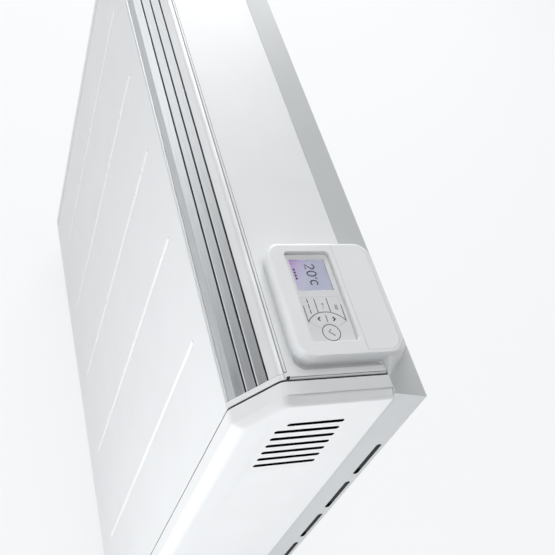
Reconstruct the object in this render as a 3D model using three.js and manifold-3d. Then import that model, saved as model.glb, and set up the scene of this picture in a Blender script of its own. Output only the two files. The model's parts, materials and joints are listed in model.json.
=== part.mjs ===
// Storage heater with a top-front outlet grille, a control pod on the right of its top and a
// brick core. Millimetres, +Z up, +X to the viewer's right, +Y to the wall. The origin is on
// the floor under the middle of the heater.
import * as THREE from 'three';
import { mergeVertices } from 'three/addons/utils/BufferGeometryUtils.js';
import Module from 'manifold-3d';

const wasm = await Module();
wasm.setup();

// Driving dimensions: casing
const BODY_LENGTH = 747; // between the seams of the two end caps
const CASE_DEPTH = 185; // front face to wall
const TOP_HEIGHT = 700; // floor to flat top
const CASE_BOTTOM = 38; // floor to the underside of the casing
const SHEET = 1.2; // steel sheet
const FIT = 0.3; // gap between seated pieces
const SEAM = 0.8; // visible gap between a panel and an end cap
const FLANGE = 12; // turned-in edge of a panel

// Front panel ribs
const RIB_COUNT = 5;
const RIB_PITCH = 135;
const RIB_WIDTH = 5;
const RIB_HEIGHT = 1.2;
const RIB_TOP_DROP = 88; // flat top down to the ribs' upper ends
const RIB_BOTTOM_MARGIN = 70; // casing bottom up to the ribs' lower ends

// Sloping grille between front face and top
const GRILLE_RUN = 38; // its depth along Y
const GRILLE_RISE = 44; // its height
const LIP_WIDTH = 3;
const LOWER_RAIL_WIDTH = 10.7;
const RAIL_THICKNESS = 1.6;
const SLAT_COUNT = 3;
const SLAT_PITCH = 11.9;
const SLAT_WIDTH = 9.5;
const SLAT_THICKNESS = 1.4;
const SLAT_LEG = 8; // blade below each slat
const UPPER_RAIL_RADIUS = 7.6; // rounding from the grille plane into the top
const GRILLE_END_WIDTH = 5.5;

// Top panel and rear casing
const BEAD_WIDTH = 2.4;
const BEAD_HEIGHT = 0.8;
const BEAD_END_MARGIN = 7;
const TOP_PANEL_REAR = 146; // front face to the rear edge of top panel and end caps
const REAR_DROP = 10.6; // fall of the rear slope
const REAR_OVERHANG = 20; // rear casing's side beyond the seam
const REAR_RECESS = 9; // depth of the pocket behind the heater
const REAR_RIM = 14; // rim around that pocket
const SIDE_SLOT_LENGTH = 68.6;
const SIDE_SLOT_WIDTH = 4.5;
const SIDE_SLOT_PITCH = 87.4;
const SIDE_SLOT_DROP = 106; // flat top down to the first slot
const SIDE_SLOT_INSET = 5.5; // wall face to slot

// End caps
const CAP_WIDTH = 21.6;
const CAP_WALL = 2.5;
const CAP_FLAT = 13.2; // straight part of the cap before its edge turns in
const CAP_FRONT_INSET = 13.5;
const CAP_SLOPE_INSET = 10;
const CAP_TOP_INSET = 9;
const CAP_BOTTOM_INSET = 6;
const CAP_LAP = 10; // rear casing runs this far under the cap
const CAP_LAP_WALL = 1.2;
const LOUVRE_COUNT = 7;
const LOUVRE_PITCH = 13.65;
const LOUVRE_HEIGHT = 3;
const LOUVRE_DROP = 41.5; // flat top down to the first louvre
const LOUVRE_FRONT = 43.5; // front face to the louvres
const LOUVRE_FIRST_FRONT = 51.6; // the top louvre is shorter
const LOUVRE_REAR = 109.7;

// Feet, base and wall bracket
const FOOT_WIDTH = 60;
const FOOT_INSET = 1; // foot to the edge of the base tray
const FOOT_CORNER = 8;
const FOOT_WALL = 4;
const TRAY_RIM = 15;
const BRACKET_LENGTH = 480;
const BRACKET_HEIGHT = 50;
const BRACKET_DROP = 70; // flat top down to the bracket
const BRACKET_SHEET = 2.5;
const BRACKET_HOLE = 7;
const BRACKET_HOLE_MARGIN = 40;

// Core: storage bricks, heating elements and insulation
const LEFT_BAY = 30; // seam to the left chassis side
const RIGHT_BAY = 85; // seam to the right chassis side, for the wiring
const CORE_GAP = 13; // front face to the front insulation
const PASSAGE_COUNT = 4; // air passages up the front of the bricks
const PASSAGE_WIDTH = 90;
const PASSAGE_DEPTH = 8;
const INSULATION_FRONT = 26;
const INSULATION_REAR = 18;
const INSULATION_END = 30;
const INSULATION_BASE = 40;
const INSULATION_TOP = 40;
const BRICK_COLUMNS = 2;
const BRICK_LAYERS = 3;
const GROOVE_CLEARANCE = 0.4; // brick groove around an element
const ELEMENT_RADIUS = 4;
const ELEMENT_BEND_RADIUS = 25;
const ELEMENT_INSET = 40; // end of the bricks to the element's bend
const ELEMENT_TAIL = 28; // cold ends beyond the chassis side

// Outlet duct and damper
const DUCT_LENGTH = 560;
const DUCT_FRONT = 13; // front face to the duct
const DUCT_DEPTH = 40;
const DUCT_LIP_DROP = 52; // flat top down to the duct's front lip
const DUCT_BASE_DROP = 129; // flat top down to the duct's base, which is the core's top
const DUCT_WEB_COUNT = 3;
const DUCT_WEB_DEPTH = 6;
const FLAP_END_GAP = 2; // damper to the duct's ends
const FLAP_DROP = 78; // flat top down to the damper's axis
const FLAP_SHEET = 1.2;
const FLAP_PIN_RADIUS = 2.5;
const MOTOR_RADIUS = 17;
const MOTOR_DEPTH = 22;

// Control pod
const POD_LEFT = 142; // right seam to the pod's left side
const POD_RIGHT = 12.5; // right seam to its right side
const POD_FRONT = 54.5; // front face to its front
const POD_REAR = 162; // front face to the rear edge of its top
const POD_HEIGHT = 20;
const POD_CORNER = 18;
const POD_EDGE = 5; // rounding of its top edge
const POD_WALL = 2.2;
const POD_REAR_SPREAD = 20; // the rear wall leans out by this much at the slope
const POD_GROOVE_HEIGHT = 5;
const POD_GROOVE_DEPTH = 2.4;
const POD_GROOVE_Z = 1.4;
const POD_GROOVE_REAR = 140; // front face to the groove's rear end
const PLATE_LEFT = 130; // right seam to the key plate
const PLATE_RIGHT = 27.5;
const PLATE_FRONT = 70; // front face to the key plate
const PLATE_REAR = 116.6;
const PLATE_CORNER = 4;
const PLATE_THICKNESS = 1.5;
const PLATE_TOP = 15.8; // key plate's face above the flat top
const PLATE_LEDGE = 4; // seat under the plate's long edges
const PLATE_END_LEDGE = 1.2; // seat under its right-hand end
const RECESS_SLOPE = 2.5; // slant of the recess wall
const COVER_LEFT = 139;
const COVER_RIGHT = 15.5;
const COVER_FRONT = 122;
const COVER_REAR = 158.5;
const COVER_CORNER = 14;
const COVER_THICKNESS = 1.2;
const DISPLAY_LEFT = 123.9;
const DISPLAY_SIZE = 37.6;
const DISPLAY_FRONT = 74;
const BOARD_THICKNESS = 1.6;
const BOARD_MARGIN = 6; // board beyond the window in the ledge

// Keys
const KEY_GAP = 0.35;
const KEY_TRAVEL = 0.6;
const KEY_THICKNESS = 2;
const ENTER_X = 38.6; // right seam to the enter key's centre
const ENTER_Y = 93.2; // front face to it
const ENTER_RADIUS = 8.8;
const ARC_RADIUS = 23; // arc between option keys and arrow keys
const ARROW_INNER_RADIUS = 10.6;
const OPTION_LEFT = 79;
const OPTION_DEPTH = 12.9; // each of the three option keys
const OPTION_COUNT = 3;

// Electrical pieces in the right-hand bay
const TERMINAL_SIZE = [18, 40, 60];
const TERMINAL_SCREW_RADIUS = 2.6;
const TERMINAL_WAYS = 4;
const CUTOUT_RADIUS = 13;
const CUTOUT_DEPTH = 16;
const CUTOUT_EAR = 8;
const CUTOUT_PLATE = 2;
const RESET_RADIUS = 3;
const RESET_LENGTH = 7;
const RESET_TRAVEL = 2;
const GLAND_RADIUS = 9;
const GLAND_LENGTH = 22;
const GLAND_COLLAR = 3;
const GLAND_FROM_WALL = 50;
const WIREWAY_LENGTH = 30; // hole under the pod for its wires
const WIREWAY_WIDTH = 10;
const WIREWAY_FROM_COVER = 4;

const CURVE_STEPS = 4; // segments of a rounded corner
const ROUND_SIDES = 24;
const SMALL_SIDES = 12;

// Levels that follow from the driving dimensions
const seam = BODY_LENGTH / 2;
const front = -(CASE_DEPTH - RIB_HEIGHT) / 2;
const back = front + CASE_DEPTH;
const top = TOP_HEIGHT;
const rearEdge = front + TOP_PANEL_REAR;
const rearSide = seam + REAR_OVERHANG;
const grilleLength = Math.hypot(GRILLE_RUN, GRILLE_RISE);
const panelEnd = seam - SEAM;

const white = [0.9, 0.905, 0.91];
const finishes = {
  white_steel: { color: white, roughness: 0.35, metalness: 0 },
  white_plastic: { color: [0.91, 0.915, 0.92], roughness: 0.4, metalness: 0 },
  grey_steel: { color: [0.78, 0.8, 0.81], roughness: 0.45, metalness: 0 },
  brushed_aluminium: { color: [0.66, 0.67, 0.68], roughness: 0.32, metalness: 1 },
  galvanised: { color: [0.6, 0.62, 0.63], roughness: 0.5, metalness: 1 },
  key_grey: { color: [0.8, 0.8, 0.79], roughness: 0.5, metalness: 0 },
  display: { color: [0.72, 0.69, 0.86], roughness: 0.3, metalness: 0 },
  clear: { color: [0.9, 0.9, 0.95], roughness: 0.1, metalness: 0 },
  brick: { color: [0.28, 0.22, 0.2], roughness: 0.9, metalness: 0 },
  insulation: { color: [0.82, 0.8, 0.74], roughness: 0.95, metalness: 0 },
  element: { color: [0.35, 0.35, 0.36], roughness: 0.45, metalness: 1 },
  board: { color: [0.08, 0.3, 0.16], roughness: 0.5, metalness: 0 },
  rubber: { color: [0.3, 0.3, 0.31], roughness: 0.7, metalness: 0 },
  dark_plastic: { color: [0.1, 0.1, 0.11], roughness: 0.5, metalness: 0 },
  red_plastic: { color: [0.6, 0.08, 0.06], roughness: 0.4, metalness: 0 },
};

const heater = new THREE.Group();

// ---- helpers ----

function piece(name, solid, finish) {
  const { color, roughness, metalness } = finishes[finish];
  const material = new THREE.MeshStandardMaterial({ roughness, metalness });
  material.color.setRGB(...color);
  const mesh = solid.getMesh();
  const geometry = new THREE.BufferGeometry();
  geometry.setAttribute('position', new THREE.BufferAttribute(mesh.vertProperties, mesh.numProp));
  geometry.setIndex(new THREE.BufferAttribute(mesh.triVerts, 1));
  const result = new THREE.Mesh(geometry, material);
  result.name = name;
  heater.add(result);
  return result;
}

function toSolid(geometry) {
  geometry.deleteAttribute('normal');
  geometry.deleteAttribute('uv');
  const merged = mergeVertices(geometry, 1e-4);
  const vertProperties = Float32Array.from(merged.attributes.position.array);
  const triVerts = Uint32Array.from(merged.index.array);
  return new wasm.Manifold(new wasm.Mesh({ numProp: 3, vertProperties, triVerts }));
}

function box([x0, x1], [y0, y1], [z0, z1]) {
  const geometry = new THREE.BoxGeometry(x1 - x0, y1 - y0, z1 - z0);
  geometry.translate((x0 + x1) / 2, (y0 + y1) / 2, (z0 + z1) / 2);
  return toSolid(geometry);
}

// Prism of an outline: [y, z] points along x, [x, z] points along y, or [x, y] points along z.
function prism(axis, points, from, to) {
  const flat = axis === 'y' ? points.map(([x, z]) => [z, x]) : points;
  const shape = new THREE.Shape(flat.map(([u, v]) => new THREE.Vector2(u, v)));
  const geometry = new THREE.ExtrudeGeometry(shape, { depth: to - from, bevelEnabled: false });
  geometry.translate(0, 0, from);
  const [x, y, z] = [[1, 0, 0], [0, 1, 0], [0, 0, 1]].map((v) => new THREE.Vector3(...v));
  const bases = { x: [y, z, x], y: [z, x, y], z: [x, y, z] };
  geometry.applyMatrix4(new THREE.Matrix4().makeBasis(...bases[axis]));
  return toSolid(geometry);
}

function cylinder(axis, radius, [u, v], from, to, sides = ROUND_SIDES) {
  const points = [];
  for (let i = 0; i < sides; i += 1) {
    const angle = (2 * Math.PI * (i + 0.5)) / sides;
    points.push([u + radius * Math.cos(angle), v + radius * Math.sin(angle)]);
  }
  return prism(axis, points, from, to);
}

// Closed skin over convex rings with equal point counts.
function loft(rings) {
  const count = rings[0].length;
  const last = (rings.length - 1) * count;
  let index = [];
  for (let r = 0; r < last; r += count) {
    for (let i = 0; i < count; i += 1) {
      const next = (i + 1) % count;
      index.push(r + i, r + next, r + count + next);
      index.push(r + i, r + count + next, r + count + i);
    }
  }
  for (let i = 1; i < count - 1; i += 1) {
    index.push(0, i + 1, i);
    index.push(last, last + i, last + i + 1);
  }
  const points = rings.flat();
  let volume = 0;
  for (let i = 0; i < index.length; i += 3) {
    const [a, b, c] = [0, 1, 2].map((k) => new THREE.Vector3(...points[index[i + k]]));
    volume += a.dot(b.cross(c));
  }
  if (volume < 0) index = index.reverse();
  const geometry = new THREE.BufferGeometry();
  geometry.setAttribute('position', new THREE.Float32BufferAttribute(points.flat(), 3));
  geometry.setIndex(index);
  return toSolid(geometry);
}

// Polygon with each corner rounded by its own radius.
function rounded(corners, radii, steps = CURVE_STEPS) {
  const result = [];
  corners.forEach((corner, i) => {
    const radius = Array.isArray(radii) ? radii[i] : radii;
    if (radius <= 0) {
      result.push(corner);
      return;
    }
    const here = new THREE.Vector2(...corner);
    const before = new THREE.Vector2(...corners.at(i - 1)).sub(here);
    const after = new THREE.Vector2(...corners[(i + 1) % corners.length]).sub(here);
    const half = Math.abs(before.angleTo(after)) / 2;
    const reach = Math.min(radius / Math.tan(half), before.length() / 2.02, after.length() / 2.02);
    const inRadius = reach * Math.tan(half);
    const bisector = before.clone().normalize().add(after.clone().normalize()).normalize();
    const centre = here.clone().addScaledVector(bisector, inRadius / Math.sin(half));
    const start = here.clone().addScaledVector(before.normalize(), reach).sub(centre);
    const end = here.clone().addScaledVector(after.normalize(), reach).sub(centre);
    let turn = end.angle() - start.angle();
    if (turn > Math.PI) turn -= 2 * Math.PI;
    if (turn < -Math.PI) turn += 2 * Math.PI;
    for (let k = 0; k <= steps; k += 1) {
      const spoke = start.clone().rotateAround(new THREE.Vector2(), (turn * k) / steps);
      result.push(centre.clone().add(spoke).toArray());
    }
  });
  return result;
}

function rectangle([x0, x1], [y0, y1], radius, steps = CURVE_STEPS) {
  return rounded([[x0, y0], [x1, y0], [x1, y1], [x0, y1]], radius, steps);
}

function join(...solids) {
  return solids.reduce((sum, solid) => sum.add(solid));
}

function cut(solid, ...tools) {
  return tools.reduce((rest, tool) => rest.subtract(tool), solid);
}

function mirrored(solid) {
  return solid.mirror([1, 0, 0]);
}

// Point of the grille plane: along is the distance up the slope, out the height above it.
function onGrille(along, out) {
  const [cos, sin] = [GRILLE_RUN / grilleLength, GRILLE_RISE / grilleLength];
  const y = front + along * cos - out * sin;
  const z = top - GRILLE_RISE + along * sin + out * cos;
  return [y, z];
}

// Upper edge of the space under the grille's slats and the top panel's flanges, from one place
// along Y to another, lowered by a drop.
function underTop(from, to, drop = 0) {
  const [y0, z0] = onGrille(0, -SLAT_LEG - FIT);
  const level = top - FLANGE - FIT;
  const knee = y0 + ((level - z0) * GRILLE_RUN) / GRILLE_RISE;
  const start = z0 + ((from - y0) * GRILLE_RISE) / GRILLE_RUN;
  return [[from, start - drop], [knee, level - drop], [to, level - drop]];
}

// ---- casing ----

function frontPanel() {
  const upper = top - GRILLE_RISE - FIT;
  const sheet = box([-panelEnd, panelEnd], [front, front + SHEET], [CASE_BOTTOM, upper]);
  const deep = [front, front + FLANGE];
  const edges = [
    box([-panelEnd, panelEnd], deep, [CASE_BOTTOM, CASE_BOTTOM + SHEET]),
    box([-panelEnd, panelEnd], deep, [upper - SHEET, upper]),
    box([-panelEnd, -panelEnd + SHEET], deep, [CASE_BOTTOM, upper]),
    box([panelEnd - SHEET, panelEnd], deep, [CASE_BOTTOM, upper]),
  ];
  const ribs = [];
  const rib = [CASE_BOTTOM + RIB_BOTTOM_MARGIN, top - RIB_TOP_DROP];
  for (let i = 0; i < RIB_COUNT; i += 1) {
    const x = (i - (RIB_COUNT - 1) / 2) * RIB_PITCH;
    const ring = (half, y) => rectangle(
      [x - half, x + half],
      [rib[0] + RIB_WIDTH / 2 - half, rib[1] - RIB_WIDTH / 2 + half],
      half * 0.98,
    ).map(([u, v]) => [u, y, v]);
    const half = RIB_WIDTH / 2;
    ribs.push(loft([
      ring(half, front + SHEET / 2),
      ring(half, front),
      ring(half * 0.78, front - RIB_HEIGHT * 0.6),
      ring(half * 0.36, front - RIB_HEIGHT),
    ]));
  }
  return join(sheet, ...edges, ...ribs);
}

const upperRailStart = LOWER_RAIL_WIDTH + FIT + SLAT_COUNT * SLAT_PITCH;
const turnAngle = Math.atan2(GRILLE_RISE, GRILLE_RUN);
const turnReach = UPPER_RAIL_RADIUS * Math.tan(turnAngle / 2);
const upperRailRear = front + GRILLE_RUN + turnReach;
const grilleInner = seam - SEAM - GRILLE_END_WIDTH - FIT;

function alongHeater(outline) {
  return prism('x', outline, -grilleInner, grilleInner);
}

// The front panel's turned-in top edge fills the space under this level.
const belowGrille = box([-seam, seam], [front, back], [CASE_BOTTOM, top - GRILLE_RISE]);

function grilleLowerRail() {
  return cut(alongHeater([
    [FIT, -SLAT_LEG],
    [FIT, -0.5],
    [FIT + 0.8, 0],
    [LIP_WIDTH, 0],
    [LIP_WIDTH + 0.4, -1],
    [LOWER_RAIL_WIDTH, -1],
    [LOWER_RAIL_WIDTH, -SLAT_LEG],
  ].map(([s, h]) => onGrille(s, h))), belowGrille);
}

function grilleSlat(number) {
  const start = LOWER_RAIL_WIDTH + FIT + number * SLAT_PITCH;
  return alongHeater([
    [start, -SLAT_LEG],
    [start, -0.4],
    [start + 0.6, 0],
    [start + SLAT_WIDTH, 0],
    [start + SLAT_WIDTH, -SLAT_THICKNESS],
    [start + SLAT_THICKNESS, -SLAT_THICKNESS],
    [start + SLAT_THICKNESS, -SLAT_LEG],
  ].map(([s, h]) => onGrille(s, h)));
}

// The upper rail's face: up the slope, round the turn and back along the top.
function turnedFace(start, rear, inset, steps) {
  const points = [onGrille(start, -inset)];
  const centre = [upperRailRear, top - UPPER_RAIL_RADIUS];
  const radius = UPPER_RAIL_RADIUS - inset;
  for (let i = 0; i <= steps; i += 1) {
    const angle = Math.PI / 2 + turnAngle * (1 - i / steps);
    points.push([centre[0] + radius * Math.cos(angle), centre[1] + radius * Math.sin(angle)]);
  }
  points.push([rear, top - inset]);
  return points;
}

function grilleUpperRail() {
  const outer = turnedFace(upperRailStart, upperRailRear + FIT, 0, 6);
  const inner = turnedFace(upperRailStart + RAIL_THICKNESS, upperRailRear + FIT, RAIL_THICKNESS, 6);
  const legs = [onGrille(upperRailStart + RAIL_THICKNESS, -SLAT_LEG), onGrille(upperRailStart, -SLAT_LEG)];
  return alongHeater([...outer, ...inner.reverse(), ...legs]);
}

function grilleEnd() {
  const outer = turnedFace(FIT, upperRailRear + FIT, 0, 6);
  const inner = turnedFace(FIT, upperRailRear + FIT, SLAT_LEG, 6).reverse();
  return cut(prism('x', [...outer, ...inner], panelEnd - GRILLE_END_WIDTH, panelEnd), belowGrille);
}

function topPanel() {
  const start = upperRailRear + 2 * FIT;
  const end = rearEdge - FIT;
  const sides = [-panelEnd, panelEnd];
  const sheet = box(sides, [start, end], [top - SHEET, top]);
  const low = [top - FLANGE, top];
  const edges = [
    box([-panelEnd, -panelEnd + SHEET], [start, end], low),
    box([panelEnd - SHEET, panelEnd], [start, end], low),
    box(sides, [end - SHEET, end], low),
    box(sides, [start, start + SHEET], low),
  ];
  const beadEnd = panelEnd - BEAD_END_MARGIN;
  const bead = prism('z', rectangle([-beadEnd, beadEnd], [start + 0.4, start + 0.4 + BEAD_WIDTH],
    BEAD_WIDTH / 2 - 0.05), top - SHEET / 2, top + BEAD_HEIGHT);
  const wirewayMiddle = seam - (POD_LEFT + POD_RIGHT) / 2;
  const wirewayFront = front + COVER_FRONT + WIREWAY_FROM_COVER;
  const wireway = box([wirewayMiddle - WIREWAY_LENGTH / 2, wirewayMiddle + WIREWAY_LENGTH / 2],
    [wirewayFront, wirewayFront + WIREWAY_WIDTH], [top - 2 * SHEET, top + SHEET]);
  return cut(join(sheet, ...edges, bead), wireway);
}

function slopeHeight(y) {
  return top - (REAR_DROP * (y - rearEdge)) / (back - rearEdge);
}

function rearCasing() {
  const block = (inset) => prism('x', [
    [rearEdge, CASE_BOTTOM + (inset ? -1 : 0)],
    [back - inset, CASE_BOTTOM + (inset ? -1 : 0)],
    [back - inset, slopeHeight(back) - inset],
    [rearEdge + (inset ? SHEET : 0), top - inset],
    [rearEdge + (inset ? SHEET : 0), top - FLANGE],
    [rearEdge - (inset ? 1 : 0), top - FLANGE],
  ], -rearSide + inset, rearSide - inset);
  const pocketX = rearSide - REAR_RIM;
  const pocketTop = slopeHeight(back) - REAR_RIM;
  const pan = box([-pocketX - SHEET, pocketX + SHEET], [back - REAR_RECESS - SHEET, back - SHEET / 2],
    [CASE_BOTTOM, pocketTop + SHEET]);
  const pocket = box([-pocketX, pocketX], [back - REAR_RECESS, back + 1], [CASE_BOTTOM - 1, pocketTop]);
  const lap = box([rearSide - SHEET, rearSide], [rearEdge - CAP_LAP, rearEdge + SHEET],
    [CASE_BOTTOM + CAP_BOTTOM_INSET + 2 * CAP_WALL, top - CAP_TOP_INSET - 3 * CAP_WALL]);
  let casing = join(cut(block(0), block(SHEET)), pan, lap, mirrored(lap));
  casing = cut(casing, pocket);
  const slotY = [back - SIDE_SLOT_INSET - SIDE_SLOT_WIDTH, back - SIDE_SLOT_INSET];
  for (let z = top - SIDE_SLOT_DROP; z - SIDE_SLOT_LENGTH > CASE_BOTTOM + REAR_RIM; z -= SIDE_SLOT_PITCH) {
    const outline = rectangle(slotY, [z - SIDE_SLOT_LENGTH, z], SIDE_SLOT_WIDTH / 2 - 0.05, 3);
    const slot = prism('x', outline, rearSide - 2 * SHEET, rearSide + 1);
    casing = cut(casing, slot, mirrored(slot));
  }
  return casing;
}

// Outline of an end cap in its Y-Z plane, drawn in by a share of the cap's own insets.
function capOutline(x, share, wall, rear) {
  const inFront = CAP_FRONT_INSET * share + wall;
  const inSlope = CAP_SLOPE_INSET * share + wall;
  const inTop = CAP_TOP_INSET * share + wall;
  const low = CASE_BOTTOM + CAP_BOTTOM_INSET * share + wall;
  const knee = top - GRILLE_RISE + (inFront * GRILLE_RISE - inSlope * grilleLength) / GRILLE_RUN;
  const crest = front + (inSlope * grilleLength + (GRILLE_RISE - inTop) * GRILLE_RUN) / GRILLE_RISE;
  const corners = [
    [front + inFront, low],
    [front + inFront, knee],
    [crest, top - inTop],
    [rear, top - inTop],
    [rear, low],
  ];
  return rounded(corners, [4, 6, UPPER_RAIL_RADIUS, 0, 0]).map(([y, z]) => [x, y, z]);
}

function endCap() {
  const edge = CAP_WIDTH - CAP_FLAT;
  const outer = loft([
    capOutline(seam, 0, 0, rearEdge),
    capOutline(seam + CAP_FLAT, 0, 0, rearEdge),
    capOutline(seam + CAP_FLAT + edge * 0.62, 0.44, 0, rearEdge),
    capOutline(seam + CAP_FLAT + edge * 0.9, 0.78, 0, rearEdge),
    capOutline(seam + CAP_WIDTH, 1, 0, rearEdge),
  ]);
  const inner = loft([
    capOutline(seam - 1, 0, CAP_WALL, rearEdge + 1),
    capOutline(seam + CAP_FLAT - 1, 0, CAP_WALL, rearEdge + 1),
    capOutline(seam + CAP_FLAT - 1 + edge * 0.62, 0.44, CAP_WALL, rearEdge + 1),
    capOutline(seam + CAP_WIDTH - CAP_WALL, 0.86, CAP_WALL, rearEdge + 1),
  ]);
  const lap = box([seam - 1, seam + CAP_WIDTH - CAP_LAP_WALL], [rearEdge - CAP_LAP - FIT, rearEdge + 1],
    [CASE_BOTTOM + CAP_BOTTOM_INSET + CAP_WALL, top - CAP_TOP_INSET - CAP_WALL]);
  let cap = cut(outer, inner, lap);
  for (let i = 0; i < LOUVRE_COUNT; i += 1) {
    const z = top - LOUVRE_DROP - i * LOUVRE_PITCH;
    const start = front + (i === 0 ? LOUVRE_FIRST_FRONT : LOUVRE_FRONT);
    const outline = rectangle([start, front + LOUVRE_REAR], [z - LOUVRE_HEIGHT / 2, z + LOUVRE_HEIGHT / 2],
      LOUVRE_HEIGHT / 2 - 0.1, 2);
    cap = cut(cap, prism('x', outline, seam + CAP_WIDTH / 2, seam + CAP_WIDTH + 1));
  }
  return cap;
}

// ---- base, feet and wall bracket ----

const trayFront = front + FLANGE + FIT;
const trayRear = back - REAR_RECESS - SHEET - FIT;
const trayTop = CASE_BOTTOM + SHEET;

function baseTray() {
  const half = panelEnd - SHEET - FIT;
  const rimmed = box([-half, half], [trayFront, trayRear], [CASE_BOTTOM, CASE_BOTTOM + TRAY_RIM]);
  const hollow = box([-half + SHEET, half - SHEET], [trayFront + SHEET, trayRear - SHEET],
    [trayTop, CASE_BOTTOM + TRAY_RIM + 1]);
  const tray = cut(rimmed, hollow, ...airPassages(CASE_BOTTOM - 1, trayTop + 1));
  const gland = cylinder('z', GLAND_RADIUS + FIT, glandPlace, CASE_BOTTOM - 1, trayTop + 1);
  return cut(tray, gland);
}

const glandPlace = [seam - RIGHT_BAY / 2, back - GLAND_FROM_WALL];

function cableGland() {
  const low = CASE_BOTTOM - FIT;
  const below = GLAND_LENGTH / 3;
  const body = cylinder('z', GLAND_RADIUS, glandPlace, low - below, low - below + GLAND_LENGTH);
  const collar = cylinder('z', GLAND_RADIUS + GLAND_COLLAR, glandPlace, low - below / 2, low, 6);
  const bore = cylinder('z', GLAND_RADIUS * 0.45, glandPlace, low - GLAND_LENGTH, low + GLAND_LENGTH);
  return cut(join(body, collar), bore);
}

function foot() {
  const x = seam - RIGHT_BAY - FIT;
  const plan = (inset) => rectangle(
    [x - FOOT_WIDTH + inset, x - inset],
    [trayFront + FOOT_INSET + inset, trayRear - FOOT_INSET - inset],
    FOOT_CORNER - inset,
  );
  const shell = prism('z', plan(0), 0, CASE_BOTTOM - FIT);
  return cut(shell, prism('z', plan(FOOT_WALL), FOOT_WALL, CASE_BOTTOM));
}

function wallBracket() {
  const rear = back;
  const z = [top - BRACKET_DROP - BRACKET_HEIGHT, top - BRACKET_DROP];
  const inner = back - REAR_RECESS + FIT;
  const half = BRACKET_LENGTH / 2;
  const plate = box([-half, half], [rear - BRACKET_SHEET, rear], z);
  const shelf = box([-half, half], [inner, rear], [z[1] - BRACKET_SHEET, z[1]]);
  const hook = box([-half, half], [inner, inner + BRACKET_SHEET], [z[1] - BRACKET_HEIGHT / 3, z[1]]);
  let bracket = join(plate, shelf, hook);
  for (const side of [-1, 1]) {
    const x = side * (half - BRACKET_HOLE_MARGIN);
    const height = z[0] + BRACKET_HEIGHT / 3;
    bracket = cut(bracket, cylinder('y', BRACKET_HOLE / 2, [x, height], rear - 4, rear + 1, SMALL_SIDES));
  }
  return bracket;
}

// ---- core ----

const coreLeft = -seam + LEFT_BAY;
const coreRight = seam - RIGHT_BAY;
const coreFront = front + CORE_GAP + SHEET;
const coreRear = back - REAR_RECESS - SHEET - 2 * FIT - SHEET;
const baseTop = trayTop + FIT + INSULATION_BASE;
const coreTop = top - DUCT_BASE_DROP - FIT;
const brickTop = coreTop - INSULATION_TOP - FIT;
const layerPitch = (brickTop - baseTop) / BRICK_LAYERS;
const brickHeight = layerPitch - FIT;
const brickFront = coreFront + INSULATION_FRONT + FIT;
const brickRear = coreRear - INSULATION_REAR - FIT;
const brickMiddle = (brickFront + brickRear) / 2;
const brickLeft = coreLeft + SHEET + FIT + INSULATION_END + FIT;
const brickRight = coreRight - SHEET - FIT - INSULATION_END - FIT;
const bendLeft = brickLeft + ELEMENT_INSET;

// Air passages between the bricks and the front insulation, from one height to another.
function airPassages(low, high) {
  const rear = coreFront + INSULATION_FRONT;
  const pitch = (coreRight - coreLeft) / PASSAGE_COUNT;
  const slots = [];
  for (let i = 0; i < PASSAGE_COUNT; i += 1) {
    const x = coreLeft + (i + 0.5) * pitch;
    const wide = [x - PASSAGE_WIDTH / 2, x + PASSAGE_WIDTH / 2];
    slots.push(box(wide, [rear - PASSAGE_DEPTH, rear + FIT / 2], [low, high]));
  }
  return slots;
}

function layerMiddle(layer) {
  return baseTop + FIT + layer * layerPitch + brickHeight / 2;
}

// Channel for one hairpin element: two straight grooves and the pocket of its bend.
function hairpinSpace(layer) {
  const z = layerMiddle(layer);
  const half = ELEMENT_RADIUS + GROOVE_CLEARANCE;
  const deep = [brickMiddle - half, brickMiddle + half];
  const legs = [-1, 1].map((side) => {
    const height = z + side * ELEMENT_BEND_RADIUS;
    return box([bendLeft, seam], deep, [height - half, height + half]);
  });
  const reach = ELEMENT_BEND_RADIUS + half;
  const bend = box([bendLeft - reach, bendLeft + half], deep, [z - reach, z + reach]);
  return join(...legs, bend);
}

function brick(column, row, layer) {
  const pitch = (brickRight - brickLeft + FIT) / BRICK_COLUMNS;
  const x = brickLeft + column * pitch;
  const y = row === 0 ? [brickFront, brickMiddle - FIT / 2] : [brickMiddle + FIT / 2, brickRear];
  const z = layerMiddle(layer);
  const block = box([x, x + pitch - FIT], y, [z - brickHeight / 2, z + brickHeight / 2]);
  return cut(block, hairpinSpace(layer));
}

function heatingElement(layer) {
  const z = layerMiddle(layer);
  const end = coreRight + ELEMENT_TAIL;
  const path = new THREE.CurvePath();
  const at = (x, height) => new THREE.Vector3(x, brickMiddle, height);
  path.add(new THREE.LineCurve3(at(end, z - ELEMENT_BEND_RADIUS), at(bendLeft, z - ELEMENT_BEND_RADIUS)));
  const steps = 8;
  let last = at(bendLeft, z - ELEMENT_BEND_RADIUS);
  for (let i = 1; i <= steps; i += 1) {
    const angle = -Math.PI / 2 - (Math.PI * i) / steps;
    const next = at(bendLeft + ELEMENT_BEND_RADIUS * Math.cos(angle), z + ELEMENT_BEND_RADIUS * Math.sin(angle));
    path.add(new THREE.LineCurve3(last, next));
    last = next;
  }
  path.add(new THREE.LineCurve3(last, at(end, z + ELEMENT_BEND_RADIUS)));
  return sweptRound(path, ELEMENT_RADIUS);
}

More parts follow.
